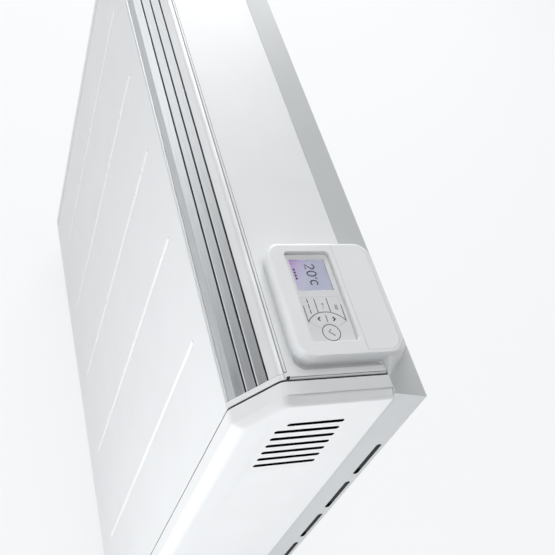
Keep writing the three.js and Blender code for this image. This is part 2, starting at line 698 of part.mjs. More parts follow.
// Round rod through the corner points of a path in one X-Z plane.
function sweptRound(path, radius) {
  const corners = [path.curves[0].v1, ...path.curves.map((line) => line.v2)];
  const rings = corners.map((point, i) => {
    const before = corners[Math.max(i - 1, 0)];
    const after = corners[Math.min(i + 1, corners.length - 1)];
    const ahead = after.clone().sub(before).normalize();
    const side = new THREE.Vector3(0, 1, 0);
    const up = new THREE.Vector3().crossVectors(side, ahead);
    const ring = [];
    for (let k = 0; k < SMALL_SIDES; k += 1) {
      const angle = (2 * Math.PI * k) / SMALL_SIDES;
      const spoke = side.clone().multiplyScalar(Math.cos(angle)).addScaledVector(up, Math.sin(angle));
      ring.push(point.clone().addScaledVector(spoke, radius).toArray());
    }
    return ring;
  });
  return loft(rings);
}

function chassisSide(right) {
  const x = right ? [coreRight - SHEET, coreRight] : [coreLeft, coreLeft + SHEET];
  let plate = prism('x', [
    ...underTop(coreFront, coreRear),
    [coreRear, trayTop + FIT],
    [coreFront, trayTop + FIT],
  ], ...x);
  if (right) {
    for (let layer = 0; layer < BRICK_LAYERS; layer += 1) plate = cut(plate, hairpinSpace(layer));
  }
  return plate;
}

function insulationEnd(right) {
  const x = right
    ? [coreRight - SHEET - FIT - INSULATION_END, coreRight - SHEET - FIT]
    : [coreLeft + SHEET + FIT, coreLeft + SHEET + FIT + INSULATION_END];
  let slab = box(x, [brickFront, brickRear], [baseTop + FIT, brickTop]);
  if (right) {
    for (let layer = 0; layer < BRICK_LAYERS; layer += 1) slab = cut(slab, hairpinSpace(layer));
  }
  return slab;
}

const coreInside = [coreLeft + SHEET + FIT, coreRight - SHEET - FIT];

function insulationSlab(y, z) {
  return cut(box(coreInside, y, z), ...airPassages(z[0] - 1, z[1] + 1));
}

// ---- outlet duct and damper ----

const ductFront = front + DUCT_FRONT;
const ductRear = ductFront + DUCT_DEPTH;
const ductMiddle = (coreLeft + coreRight) / 2;
const ductEnds = [ductMiddle - DUCT_LENGTH / 2, ductMiddle + DUCT_LENGTH / 2];
const ductBase = coreTop + FIT;
const flapY = ductRear - SHEET - 2 * FLAP_PIN_RADIUS - FIT;
const flapZ = top - FLAP_DROP;
const flapX = [ductEnds[0] + SHEET + FLAP_END_GAP, ductEnds[1] - SHEET - FLAP_END_GAP];

function airDuct() {
  const inner = ductRear - SHEET / 2;
  const [, , [, ceiling]] = underTop(ductFront, ductRear);
  const frontWall = box(ductEnds, [ductFront, ductFront + SHEET], [ductBase, top - DUCT_LIP_DROP]);
  const rearWall = box(ductEnds, [ductRear - SHEET, ductRear], [ductBase, ceiling]);
  const side = [...underTop(ductFront + SHEET, ductRear), [ductRear, ductBase], [ductFront, ductBase],
    [ductFront, top - DUCT_LIP_DROP]];
  const ends = [prism('x', side, ductEnds[0], ductEnds[0] + SHEET),
    prism('x', side, ductEnds[1] - SHEET, ductEnds[1])];
  const webFront = ductFront + SLAT_LEG / 2;
  const web = [...underTop(webFront, inner), ...underTop(webFront, inner, DUCT_WEB_DEPTH).reverse()];
  const webs = [];
  for (let i = 1; i <= DUCT_WEB_COUNT; i += 1) {
    const x = ductEnds[0] + (i * DUCT_LENGTH) / (DUCT_WEB_COUNT + 1);
    webs.push(prism('x', web, x - SHEET / 2, x + SHEET / 2));
  }
  const bore = cylinder('x', FLAP_PIN_RADIUS + FIT, [flapY, flapZ], ductEnds[0] - 1, ductEnds[1] + 1,
    SMALL_SIDES);
  return cut(join(frontWall, rearWall, ...ends, ...webs), bore);
}

function damperFlap() {
  const reach = flapY - ductFront - SHEET - 1;
  const blade = box(flapX, [flapY - reach, flapY], [flapZ - FLAP_SHEET / 2, flapZ + FLAP_SHEET / 2]);
  const stiffener = box(flapX, [flapY - reach, flapY - reach + FLAP_SHEET], [flapZ, flapZ + 5]);
  const pin = cylinder('x', FLAP_PIN_RADIUS, [flapY, flapZ], ductEnds[0] - 4, ductEnds[1] + 4, SMALL_SIDES);
  return join(blade, stiffener, pin);
}

function damperMotor() {
  const x = ductEnds[1] + FIT;
  const place = [flapY, flapZ];
  const can = cylinder('x', MOTOR_RADIUS, place, x, x + MOTOR_DEPTH);
  const socket = cylinder('x', FLAP_PIN_RADIUS + FIT, place, x - 1, x + 4 + FIT, SMALL_SIDES);
  const ear = box([x, x + 2], [flapY - 5, flapY + 5], [flapZ - MOTOR_RADIUS - 8, flapZ + MOTOR_RADIUS + 8]);
  return cut(join(can, ear), socket);
}

// ---- control pod ----

const fromSeam = (distance) => seam - distance;
const plateTop = top + PLATE_TOP;
const plateBottom = plateTop - PLATE_THICKNESS;
const ledgeTop = plateBottom - FIT;
const ledgeBottom = ledgeTop - 1.7;
const podTop = top + POD_HEIGHT;
const insideLedge = {
  x: [fromSeam(PLATE_LEFT) + PLATE_LEDGE, fromSeam(PLATE_RIGHT) - PLATE_END_LEDGE],
  y: [front + PLATE_FRONT + PLATE_LEDGE, front + PLATE_REAR - PLATE_LEDGE],
};

// Plan outline of the pod at a height; the rear wall leans out as it goes down.
function podRing(z, inset) {
  const lean = (POD_REAR_SPREAD * (podTop - z)) / (POD_HEIGHT + REAR_DROP);
  const x = [fromSeam(POD_LEFT) + inset, fromSeam(POD_RIGHT) - inset];
  const y = [front + POD_FRONT + inset, front + POD_REAR + lean - inset];
  return rectangle(x, y, Math.max(POD_CORNER - inset, 2)).map(([u, v]) => [u, v, z]);
}

// Everything the pod stands on, raised by a gap.
function underPod(gap) {
  return prism('x', [
    [front, top - 40],
    [back + 5, top - 40],
    [back + 5, slopeHeight(back + 5) + gap],
    [rearEdge, top + gap],
    [front, top + gap],
  ], -rearSide, rearSide + 50);
}

function podHousing() {
  const low = top - REAR_DROP - 1;
  const outer = loft([
    podRing(low, 0),
    podRing(podTop - POD_EDGE, 0),
    podRing(podTop - POD_EDGE * 0.5, POD_EDGE * 0.134),
    podRing(podTop - POD_EDGE * 0.134, POD_EDGE * 0.5),
    podRing(podTop, POD_EDGE),
  ]);
  const skirt = loft([
    [[0, 147.5, 0], [-12, 159, -4], [-30, 178, -9], [-44, 181, -10], [-44, 140, 0], [-13, 140, 0]],
    [[-12.6, 146, 14], [-12.6, 150, 14], [-16, 158, 14], [-44, 160, 14], [-44, 140, 14], [-13, 140, 14]],
  ].map((ring) => ring.map(([x, y, z]) => [seam + x, front + y, top + z])));
  const cavity = loft([
    podRing(low - 1, POD_WALL),
    podRing(ledgeBottom, POD_WALL),
  ]);
  const pocket = prism('z', rectangle(
    [fromSeam(PLATE_LEFT) - FIT, fromSeam(PLATE_RIGHT) + FIT],
    [front + PLATE_FRONT - FIT, front + PLATE_REAR + FIT],
    PLATE_CORNER,
  ), ledgeTop, podTop + 1);
  const aperture = prism('z', rectangle(insideLedge.x, insideLedge.y, PLATE_CORNER), ledgeBottom - 2, podTop);
  const mouthRing = (z, outset) => rectangle(
    [fromSeam(PLATE_LEFT) - FIT - outset, fromSeam(PLATE_RIGHT) + FIT + outset],
    [front + PLATE_FRONT - FIT - outset, front + PLATE_REAR + FIT + outset],
    PLATE_CORNER + outset,
  ).map(([x, y]) => [x, y, z]);
  const mouth = loft([mouthRing(plateTop, 0), mouthRing(podTop + 0.5, RECESS_SLOPE)]);
  const coverPocket = prism('z', coverOutline(-FIT), podTop - COVER_THICKNESS - FIT, podTop + 1);
  const underCover = prism('z', coverOutline(POD_WALL), ledgeBottom - 1,
    podTop - COVER_THICKNESS - FIT - POD_WALL);
  const hollow = cut(join(outer, skirt), cavity, underCover, aperture);
  const openings = [underPod(FIT), pocket, mouth, coverPocket];
  return cut(join(hollow, grooveWall()), ...openings, groove());
}

// Band of the housing's wall between two insets, round its right-hand end.
function endBand(outerInset, innerInset, from, to) {
  const band = cut(
    loft([podRing(from, outerInset), podRing(to, outerInset)]),
    loft([podRing(from - 1, innerInset), podRing(to + 1, innerInset)]),
  );
  const x = [fromSeam(POD_RIGHT) - POD_CORNER, seam];
  return band.intersect(box(x, [front, front + POD_GROOVE_REAR], [from, to]));
}

function groove() {
  const low = top + POD_GROOVE_Z;
  return endBand(-1, POD_GROOVE_DEPTH, low, low + POD_GROOVE_HEIGHT);
}

// Wall that closes the housing behind the groove.
function grooveWall() {
  const high = top + POD_GROOVE_Z + POD_GROOVE_HEIGHT + POD_WALL;
  return endBand(0.1, POD_GROOVE_DEPTH + POD_WALL, top, high);
}

function coverOutline(inset) {
  const x = [fromSeam(COVER_LEFT) + inset, fromSeam(COVER_RIGHT) - inset];
  const y = [front + COVER_FRONT + inset, front + COVER_REAR - inset];
  const corners = [[x[0], y[0]], [x[1], y[0]], [x[1], y[1]], [x[0], y[1]]];
  return rounded(corners, [1, 1, COVER_CORNER, COVER_CORNER]);
}

function labelCover() {
  return prism('z', coverOutline(0), podTop - COVER_THICKNESS, podTop);
}

// Key outlines in plan. Angles are about the enter key's centre, from +X.
const enterCentre = [fromSeam(ENTER_X), front + ENTER_Y];

function arcPoints(radius, from, to, steps) {
  const points = [];
  for (let i = 0; i <= steps; i += 1) {
    const angle = from + ((to - from) * i) / steps;
    points.push([enterCentre[0] + radius * Math.cos(angle), enterCentre[1] + radius * Math.sin(angle)]);
  }
  return points;
}

function optionOutline(number, gap) {
  const low = (number - OPTION_COUNT / 2) * OPTION_DEPTH + gap;
  const high = low + OPTION_DEPTH - 2 * gap;
  const radius = ARC_RADIUS + gap;
  const edge = arcPoints(radius, Math.PI - Math.asin(low / radius), Math.PI - Math.asin(high / radius), 6);
  const left = fromSeam(OPTION_LEFT) + gap;
  return [[left, enterCentre[1] + low], ...edge, [left, enterCentre[1] + high]];
}

function arrowOutline(rear, gap) {
  const sign = rear ? 1 : -1;
  const outerRadius = ARC_RADIUS - gap;
  const innerRadius = ARROW_INNER_RADIUS + gap;
  const reach = (OPTION_COUNT / 2) * OPTION_DEPTH - gap;
  const wide = Math.asin(reach / ARC_RADIUS);
  const outer = arcPoints(outerRadius, Math.PI - sign * (gap / outerRadius), Math.PI - sign * wide, 8);
  const inner = arcPoints(innerRadius, Math.PI - sign * wide, Math.PI - sign * (gap / innerRadius), 6);
  return [...outer, ...inner];
}

function keyOpenings() {
  const through = [plateBottom - 1, plateTop + 1];
  const openings = [cylinder('z', ENTER_RADIUS + KEY_GAP / 2, enterCentre, ...through, 32)];
  for (let i = 0; i < OPTION_COUNT; i += 1) {
    openings.push(prism('z', optionOutline(i, -KEY_GAP / 2), ...through));
  }
  for (const rear of [false, true]) openings.push(prism('z', arrowOutline(rear, -KEY_GAP / 2), ...through));
  return openings;
}

function displayArea(inset) {
  const x = [fromSeam(DISPLAY_LEFT) + inset, fromSeam(DISPLAY_LEFT) + DISPLAY_SIZE - inset];
  return [x, [front + DISPLAY_FRONT + inset, front + DISPLAY_FRONT + DISPLAY_SIZE - inset]];
}

function keyPlate() {
  const outline = rectangle([fromSeam(PLATE_LEFT), fromSeam(PLATE_RIGHT)],
    [front + PLATE_FRONT, front + PLATE_REAR], PLATE_CORNER);
  const window = box(...displayArea(0), [plateBottom - 1, plateTop + 1]);
  return cut(prism('z', outline, plateBottom, plateTop), window, ...keyOpenings());
}

function keyCap(outline) {
  return prism('z', outline, plateTop - KEY_THICKNESS, plateTop);
}

const matTop = plateTop - KEY_THICKNESS - KEY_TRAVEL - 0.1;
const boardTop = ledgeBottom - FIT;
const boardBottom = boardTop - BOARD_THICKNESS;

const [displayX] = displayArea(0);
const insideY = [insideLedge.y[0] + FIT, insideLedge.y[1] - FIT];

function displayModule() {
  const x = [insideLedge.x[0] + FIT, displayX[1] + 1];
  return prism('z', rectangle(x, insideY, PLATE_CORNER), boardTop + FIT, plateBottom - FIT);
}

function keyMat() {
  const x = [displayX[1] + 1 + FIT, insideLedge.x[1] - FIT];
  return prism('z', rectangle(x, insideY, PLATE_CORNER), boardTop + FIT, matTop);
}

function controlBoard() {
  const { x, y } = insideLedge;
  return box([x[0] - BOARD_MARGIN, x[1] + BOARD_MARGIN], [y[0] - BOARD_MARGIN, y[1] + BOARD_MARGIN],
    [boardBottom, boardTop]);
}

// ---- electrical pieces in the right-hand bay ----

const bayWall = coreRight + FIT;

// Height where two layers of bricks meet, clear of the elements' cold ends.
function betweenLayers(layer) {
  return baseTop + layer * layerPitch;
}

function terminalBlock() {
  const [width, depth, height] = TERMINAL_SIZE;
  const z = betweenLayers(1) - height / 2;
  let block = box([bayWall, bayWall + width], [-depth / 2, depth / 2], [z, z + height]);
  for (let i = 0; i < TERMINAL_WAYS; i += 1) {
    const middle = z + (height * (i + 0.5)) / TERMINAL_WAYS;
    for (const side of [-1, 1]) {
      const place = [(side * depth) / 4, middle];
      block = cut(block, cylinder('x', TERMINAL_SCREW_RADIUS, place, bayWall + width / 2, bayWall + width + 1,
        SMALL_SIDES));
    }
  }
  return block;
}

const cutoutPlace = [0, betweenLayers(2)];

function thermalCutout() {
  const can = cylinder('x', CUTOUT_RADIUS, cutoutPlace, bayWall, bayWall + CUTOUT_DEPTH);
  const reach = CUTOUT_RADIUS + CUTOUT_EAR;
  const base = box([bayWall, bayWall + CUTOUT_PLATE], [-reach, reach],
    [cutoutPlace[1] - CUTOUT_RADIUS / 2, cutoutPlace[1] + CUTOUT_RADIUS / 2]);
  const bore = cylinder('x', RESET_RADIUS + FIT, cutoutPlace, bayWall + CUTOUT_DEPTH - RESET_LENGTH,
    bayWall + CUTOUT_DEPTH + 1, SMALL_SIDES);
  return cut(join(can, base), bore);
}

function resetButton() {
  const start = bayWall + CUTOUT_DEPTH - RESET_LENGTH + RESET_TRAVEL + FIT;
  return cylinder('x', RESET_RADIUS, cutoutPlace, start, start + RESET_LENGTH, SMALL_SIDES);
}

// ---- assembly ----

piece('front_panel', frontPanel(), 'white_steel');
piece('top_panel', topPanel(), 'white_steel');
piece('rear_casing', rearCasing(), 'grey_steel');
piece('end_cap_right', endCap(), 'white_plastic');
piece('end_cap_left', mirrored(endCap()), 'white_plastic');
piece('grille_lower_rail', grilleLowerRail(), 'brushed_aluminium');
for (let i = 0; i < SLAT_COUNT; i += 1) {
  piece(`grille_slat_${i + 1}`, grilleSlat(i), 'brushed_aluminium');
}
piece('grille_upper_rail', grilleUpperRail(), 'white_steel');
piece('grille_end_right', grilleEnd(), 'white_plastic');
piece('grille_end_left', mirrored(grilleEnd()), 'white_plastic');

piece('base_tray', baseTray(), 'galvanised');
piece('cable_gland', cableGland(), 'dark_plastic');
piece('foot_right', foot(), 'dark_plastic');
piece('foot_left', mirrored(foot()), 'dark_plastic');
piece('wall_bracket', wallBracket(), 'galvanised');

piece('chassis_side_right', chassisSide(true), 'galvanised');
piece('chassis_side_left', chassisSide(false), 'galvanised');
piece('insulation_base', insulationSlab([coreFront, coreRear], [trayTop + FIT, baseTop]), 'insulation');
piece('insulation_top', insulationSlab([coreFront, coreRear], [brickTop + FIT, coreTop]), 'insulation');
const betweenSlabs = [baseTop + FIT, brickTop];
piece('insulation_front', insulationSlab([coreFront, coreFront + INSULATION_FRONT], betweenSlabs), 'insulation');
piece('insulation_rear', insulationSlab([coreRear - INSULATION_REAR, coreRear], betweenSlabs), 'insulation');
piece('insulation_right', insulationEnd(true), 'insulation');
piece('insulation_left', insulationEnd(false), 'insulation');
for (let layer = 0; layer < BRICK_LAYERS; layer += 1) {
  for (let column = 0; column < BRICK_COLUMNS; column += 1) {
    const place = `${layer + 1}_${column + 1}`;
    piece(`brick_front_${place}`, brick(column, 0, layer), 'brick');
    piece(`brick_rear_${place}`, brick(column, 1, layer), 'brick');
  }
  piece(`heating_element_${layer + 1}`, heatingElement(layer), 'element');
}
piece('air_duct', airDuct(), 'galvanised');
piece('damper_flap', damperFlap(), 'galvanised');
piece('damper_motor', damperMotor(), 'dark_plastic');

piece('pod_housing', podHousing(), 'white_plastic');
piece('label_cover', labelCover(), 'white_plastic');
piece('key_plate', keyPlate(), 'key_grey');
piece('display_window', box(...displayArea(KEY_GAP / 2), [plateBottom, plateTop]), 'clear');
piece('display_module', displayModule(), 'display');
piece('key_mat', keyMat(), 'rubber');
piece('control_board', controlBoard(), 'board');
piece('key_enter', keyCap(arcPoints(ENTER_RADIUS - KEY_GAP / 2, 0, 2 * Math.PI * (31 / 32), 31)), 'key_grey');
piece('key_down', keyCap(arrowOutline(false, KEY_GAP / 2)), 'key_grey');
piece('key_up', keyCap(arrowOutline(true, KEY_GAP / 2)), 'key_grey');
for (let i = 0; i < OPTION_COUNT; i += 1) {
  piece(`key_option_${i + 1}`, keyCap(optionOutline(i, KEY_GAP / 2)), 'key_grey');
}

piece('terminal_block', terminalBlock(), 'dark_plastic');
piece('thermal_cutout', thermalCutout(), 'dark_plastic');
piece('reset_button', resetButton(), 'red_plastic');

export default heater;
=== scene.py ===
"""Storage heater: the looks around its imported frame.

Shapes are written in millimetres and become metres when a mesh is made. X runs to the right, Y to the
wall and Z up. Most places are given from the right-hand seam (x), the front face (y) and the flat top (z).
"""

import json
import math

import bpy
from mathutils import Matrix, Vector

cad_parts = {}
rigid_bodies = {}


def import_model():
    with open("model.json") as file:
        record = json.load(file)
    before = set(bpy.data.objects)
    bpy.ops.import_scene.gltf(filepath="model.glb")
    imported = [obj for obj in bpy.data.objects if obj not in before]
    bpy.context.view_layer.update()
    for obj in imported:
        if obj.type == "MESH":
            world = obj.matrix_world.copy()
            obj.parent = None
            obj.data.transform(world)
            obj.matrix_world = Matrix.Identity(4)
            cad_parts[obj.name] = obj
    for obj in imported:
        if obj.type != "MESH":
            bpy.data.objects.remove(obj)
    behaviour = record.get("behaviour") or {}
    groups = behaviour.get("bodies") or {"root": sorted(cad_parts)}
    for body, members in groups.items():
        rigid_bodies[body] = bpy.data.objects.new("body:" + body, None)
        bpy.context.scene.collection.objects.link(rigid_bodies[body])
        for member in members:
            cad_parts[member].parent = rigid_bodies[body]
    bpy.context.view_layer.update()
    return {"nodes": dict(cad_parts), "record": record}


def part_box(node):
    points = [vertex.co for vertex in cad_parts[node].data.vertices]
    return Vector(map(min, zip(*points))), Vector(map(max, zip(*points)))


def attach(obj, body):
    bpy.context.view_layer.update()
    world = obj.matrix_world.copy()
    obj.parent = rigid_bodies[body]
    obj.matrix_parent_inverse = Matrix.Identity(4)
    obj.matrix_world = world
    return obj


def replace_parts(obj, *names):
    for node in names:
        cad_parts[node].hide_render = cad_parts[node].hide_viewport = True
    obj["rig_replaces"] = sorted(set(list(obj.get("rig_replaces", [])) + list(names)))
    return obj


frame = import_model()

MM = 0.001
BODY = "heater"
SIDES = ((1, "right"), (-1, "left"))


# ---- sizes from the frame ----


def box(node):
    """Lowest and highest corner of a CAD node in millimetres."""
    low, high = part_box(node)
    return low / MM, high / MM


cap_low, cap_high = box("end_cap_right")
panel_low = box("front_panel")[0]
top_low, top_high = box("top_panel")
rear_high = box("rear_casing")[1]
pod_high = box("pod_housing")[1]
plate_low, plate_high = box("key_plate")

SEAM = cap_low.x
FRONT = cap_low.y
REAR_EDGE = cap_high.y
BOTTOM = cap_low.z
TOP = cap_high.z
CAP_WIDTH = cap_high.x - cap_low.x
RIB_HEIGHT = FRONT - panel_low.y
BACK = rear_high.y
BEAD_HEIGHT = top_high.z - TOP
POD_HEIGHT = pod_high.z - TOP

# Casing
SHEET = 1.2
FIT = 0.3
FLANGE = 12
BEND = 1.6  # outer radius of a folded edge
BEND_STEPS = 5
TOP_BEND = 3.2
TOP_REACH = 0.2  # of the top panel past its solid's rear edge
TOP_BEND_SHARES = (0.15, 0.1)  # of the bend at the front and rear edges, which are nearly square
SEAM_GAP = 2.0
PANEL_END = SEAM - SEAM_GAP
RIB_COUNT = 5
RIB_PITCH = 135
RIB_WIDTH = 5
RIB_CREST = 0.08  # width of the crest as a share of the foot's
RIB_STEPS = 8
RIB_END_ROUNDING = 0.995  # share of the half width
RIB_TOP_DROP = 88
RIB_BOTTOM_MARGIN = 70
REAR_DROP = 10.6

# Bead, corner notches and fold lines of the top; the bead's grooves and the fold lines are painted dark grey
# as shade, and each notch holds a dark block of painted shade
BEAD_WIDTH = 2.4
BEAD_ROUNDING = 0.55
BEAD_SIDE = 0.05  # height of its straight side
BEAD_FOOT = 0.9
BEAD_STEPS = 6
BEAD_END_ROUNDING = 0.98
BEAD_END_MARGIN = 7
BEAD_GROOVE = 0.6
BEAD_GROOVE_DEPTH = 0.75
NOTCH = ((1, 0.6), (-3.3, 2.8), (-3.5, 6.0), (1, 4.4))  # plan from the top's end and front edge
NOTCH_DEPTH = 5
NOTCH_SHADE = ((-6, -1.4), (1.5, 7), (-2.6, -1.8))  # reach in x, y and z of the dark block of painted shade in each notch
FOLD_SHADE_WIDTH = 0.6  # width of the line along a side fold, a groove painted dark grey as shade
FOLD_PLACE = 2.4  # its distance from the top's end
FOLD_START = 6.2  # and from the front edge
FOLD_DEPTH = 0.8

# Sloping grille
GRILLE_RUN = 38
GRILLE_RISE = 44
GRILLE_LENGTH = math.hypot(GRILLE_RUN, GRILLE_RISE)
GRILLE_UP = (0, GRILLE_RUN / GRILLE_LENGTH, GRILLE_RISE / GRILLE_LENGTH)
GRILLE_END_WIDTH = 5.5
GRILLE_INNER = PANEL_END - GRILLE_END_WIDTH - FIT
LIP_WIDTH = 3
LIP_DEPTH = 3.2
LOWER_RAIL_WIDTH = 10.7
STRIP_REACH = (LIP_WIDTH + 0.05, LOWER_RAIL_WIDTH + 0.2)
STRIP_SINK = 0.25
SLAT_COUNT = 3
SLAT_PITCH = 11.9
SLAT_WIDTH = 10.0
SLAT_STEP = 0.8  # height of a slat's front edge above the rear edge of the one in front
SLAT_ROLL = (1.5, 0.8)  # width and drop of a slat's rolled front edge
FIRST_ROLL = (0.3, 0.1)
SLAT_SHEET = 1.4
SLAT_LEG = 8
UPPER_RAIL_RADIUS = 7.6
RAIL_SHEET = 1.6
TURN_ANGLE = math.atan2(GRILLE_RISE, GRILLE_RUN)
TURN_STEPS = 14
RAIL_REAR = FRONT + GRILLE_RUN + UPPER_RAIL_RADIUS * math.tan(TURN_ANGLE / 2)
GAP_SHADE_REACH = (LOWER_RAIL_WIDTH + 1, GRILLE_LENGTH - 12)
GAP_SHADE_SHEET = 0.8

# End caps
CAP_FLAT = 13.2
CAP_FRONT_INSET = 13.5
CAP_SLOPE_INSET = 10
CAP_TOP_INSET = 9
CAP_BOTTOM_INSET = 6
CAP_FRONT_CURVE = 1.3  # power by which the front inset grows with the share
CAP_SLOPE_CURVE = 1.6
CAP_CORNERS = (4, 9, UPPER_RAIL_RADIUS + 2, 0, 0)
CAP_LIP = 0.5  # rounding at the seam
CAP_TURN = ((0, 0), (0.5, 0.38), (1, 0.66), (1, 1))  # curve of the turned edge, across and by share
CAP_HOLLOW = ((0, 0), (0.62, 0.44), (1, 0.86))
CAP_WALL = 2.5
SEAM_SHADE_INSETS = (1.0, 5.0)
SEAM_SHADE_FIT = 0.05
LOUVRE_COUNT = 7
LOUVRE_PITCH = 13.65
LOUVRE_HEIGHT = 5.6
LOUVRE_DROP = 41.5
LOUVRE_FRONT = 43.5
LOUVRE_FIRST_FRONT = 51.6
LOUVRE_REAR = 109.7
LOUVRE_WALL = 0.6
LOUVRE_MARGIN = 4  # of the thin wall round the louvres
LOUVRES_HIGH = TOP - LOUVRE_DROP + LOUVRE_PITCH / 2
LOUVRES_LOW = LOUVRES_HIGH - LOUVRE_COUNT * LOUVRE_PITCH
LOUVRE_SHADE_DEPTH = 4.5
LOUVRE_SHADE_MARGIN = 8
COVE = ((0, 0.5), (0, 0), (-1.0, -1.7), (0.5, -2.9), (6.4, -5.2), (6.9, 0.5))  # from the flat strip's edge
COVE_FADE = ((38, 0.02), (43, 0.25), (50, 0.7), (58, 1.0))  # distance from the front and share of the cove
FIELD_STEP = 0.8
FIELD_FRONT = 35
FIELD_REAR = 126
FIELD_DROPS = (37, 53)
FIELD_LOW_MARGIN = 20

# Slots of the rear casing, and the dark sheets of painted shade in them
SLOT_TOP_DROP = 106
SLOT_LENGTH = 68.5
SLOT_PITCH = 87.4
SLOT_COUNT = 6
SLOT_PLACE = 7.75  # distance of the slots' middle from the wall
SLOT_SHADE_WIDTH = 5.8
SLOT_SHADE_REACH = (-2.0, 0.15)  # in x from the casing's side
SLOT_SHADE_FOOT = 14  # length of the black lower end of a slot, where the painted shade is deepest
FOOT_MARGIN = 0.3
FOOT_CORNER = 2.4
FOOT_REACH = (-1.0, 0.2)
SHADE_STRIP_INSET = 5.5
SHADE_STRIP_SHEET = 0.8
SHADE_STRIP_DEPTHS = (16, 2.5)  # from the wall
SHADE_STRIP_ENDS = (20, 90)  # from the bottom and the top

# Control pod
POD_LEFT = 142
POD_RIGHT = 12.5
POD_FRONT = 54.5
POD_REAR = 162
POD_GAP = 0.05
POD_CORNERS = (17, 18, 15, 13)  # front right, rear right, rear left, front left
POD_EDGE_INSETS = (4.6, 0.5, 2.0, 3.4)  # left, right, front, rear
POD_EDGE_DROPS = (3.4, 0.6, 2.0, 3.0)
POD_HOLLOW = 3.7  # from the outer face to the hollow inside
POD_REAR_SPREAD = 20
CORNER_POINTS = 11  # points of a ring round each corner and along each side
SIDE_POINTS = 10
REAR_RIGHT_START = CORNER_POINTS + SIDE_POINTS
SKIRT_FRONT = (0.3, 145.4)
SKIRT_START = 144.9
SKIRT_FOOT = ((0.8, 147.0), (-4.3, 153.6), (-15.0, 165.2), (-26.7, 177.0), (-37.5, 184.0))  # tip to rear
SKIRT_TOP = 12.6  # height above the flat top where the skirt leaves the wall
GROOVE_HEIGHT = 7.8
GROOVE_DEPTH = 1.7
GROOVE_REAR = 144.0
GROOVE_STEPS = (80, 90, 100, 110, 120, 130, 136, 140, 142.5, 144)  # closer where the groove ends
GROOVE_FADES = (18, 3)  # length over which it begins and ends
SHADE_SHEET_RIGHT = 10.6
SHADE_SHEET_CORNER = 20
SHADE_SHEET_MARGINS = (0.7, 0.4)  # from the pod's front and the groove's rear
SHADE_SHEET_THICKNESS = 0.25
COVER_CORNER = 14
COVER_SHEET = 1.3
COVER_GAP = 0.12
PLATE_CORNER = 4
LEDGE_WIDTH = 1.2
LEDGE_HEIGHT = 1.7
RIM_ROUNDING = 3
RIM_SPREAD = (0.45, 0.5, 0.5, 0.7)  # left, right, front, rear
RIM_FIT = 0.2

# Keys, print and display; path points are (x, y) from the right-hand seam and the front face
KEY_GAP = 0.16
CIRCLE_STEPS = 64
ENTER_RADIUS = 8.8
ARC_RADIUS = 23
ARROW_INNER_RADIUS = 10.6
OPTION_DEPTH = 12.9
OPTION_COUNT = 3
ENTER = tuple((box("key_enter")[0][k] + box("key_enter")[1][k]) / 2 for k in (0, 1))
PLATE_TOP = plate_high.z
INK_WIDTH = 0.34
INK_HEIGHT = 0.02
OPTION_LINES = (-69.6, -76.8, -77.2, -69.4)  # where the lines between the option keys start
ARROW_LINE = (-57.9, -50.4)
SIDE_LINE_END = -50.3
ARROW_INK_SHARE = 0.985
CHEVRONS = {"front": ("key_down", ((-52.0, 86.0), (-53.9, 84.4), (-56.0, 86.6))),
            "rear": ("key_up", ((-51.2, 99.4), (-53.4, 101.6), (-55.7, 99.6)))}
CHEVRON_WIDTH = 1.6
SIGN_WIDTH = 0.4
SIGN_BOLD = 0.9
SIGN_DASHES = ((-77, -72.2), (-71, -66.2), (-65, -60.2))
SIGN_DASHES_PLACE = 79.4
SIGN_RETURN_BAR = ((-66, 91.9), (-66, 93.9), (-71.5, 93.9))
SIGN_RETURN_HEAD = ((-70, 92.6), (-72, 93.9), (-70, 95.2))
SIGN_LIST = (-69.5, -63.5)
SIGN_LIST_PLACE = 106
SIGN_LIST_PITCH = 1.1
SIGN_LIST_WIDTH = 0.45
SIGN_TICK = ((-42.2, 93.6), (-39.6, 90.8), (-35.2, 96.2))
DIGIT_WIDTH = 1.3
DIGIT_TWO_FOOT = ((-118.9, 89.9), (-113.1, 89.9))
CHARGE_BARS = (-114, 77.3)
CHARGE_BAR_COUNT = 4
CHARGE_BAR_PITCH = 3.6
CHARGE_BAR_LENGTH = 2.4
CHARGE_BAR_WIDTH = 1.9

# CAD nodes that stay, and the stage
NODE_ROUNDING = 0.4
STAGE_SIZE = 30000
STAGE_RADIUS = 28000
STAGE_STEPS = 48


# ---- camera and studio ----

CAMERA_PLACE = (0.70943, -0.3479, 1.2930)
CAMERA_RIGHT = (0.2531, 0.9179, 0.3057)
CAMERA_UP = (-0.7922, 0.0152, 0.6101)
CAMERA_LENS = 54.706
WORLD_COLOUR = (0.97, 0.985, 1.0)
WORLD_STRENGTH = 0.153
PAPER_GLOW = 0.85
HEATER_MIDDLE = (0.1, 0.0, 0.65)
SOFTBOXES = (
    ("left_softbox", (-2.2, 0.2, 1.7), HEATER_MIDDLE, (1.6, 1.4), 31.5),
    ("left_low_back", (-2.3, 1.0, 1.2), HEATER_MIDDLE, (1.2, 1.0), 19.4),
    ("front_left_far", (-2.3, -1.4, 1.1), HEATER_MIDDLE, (1.6, 1.2), 5.0),
    ("front_left", (-1.8, -2.2, 1.3), HEATER_MIDDLE, (1.4, 1.4), 3.7),
    ("top_softbox", (0.1, 0.1, 2.9), HEATER_MIDDLE, (1.6, 1.6), 23.0),
    ("right_top", (1.3, 0.3, 2.4), HEATER_MIDDLE, (1.2, 1.2), 3.0),
    ("right_reflector", (1.0, -0.2, 0.02), (0.9, -0.2, 1.0), (1.6, 0.9), 7.9),
    ("front_reflector", (0.8, -0.8, 0.3), (0.45, -0.09, 0.5), (0.5, 0.5), 2.9),
    ("front_right_card", (0.75, -0.95, 0.98), (0.4, -0.05, 0.68), (0.5, 0.5), 2.2),
)


def add_object(name, data):
    thing = bpy.data.objects.new(name, data)
    bpy.context.scene.collection.objects.link(thing)
    return thing


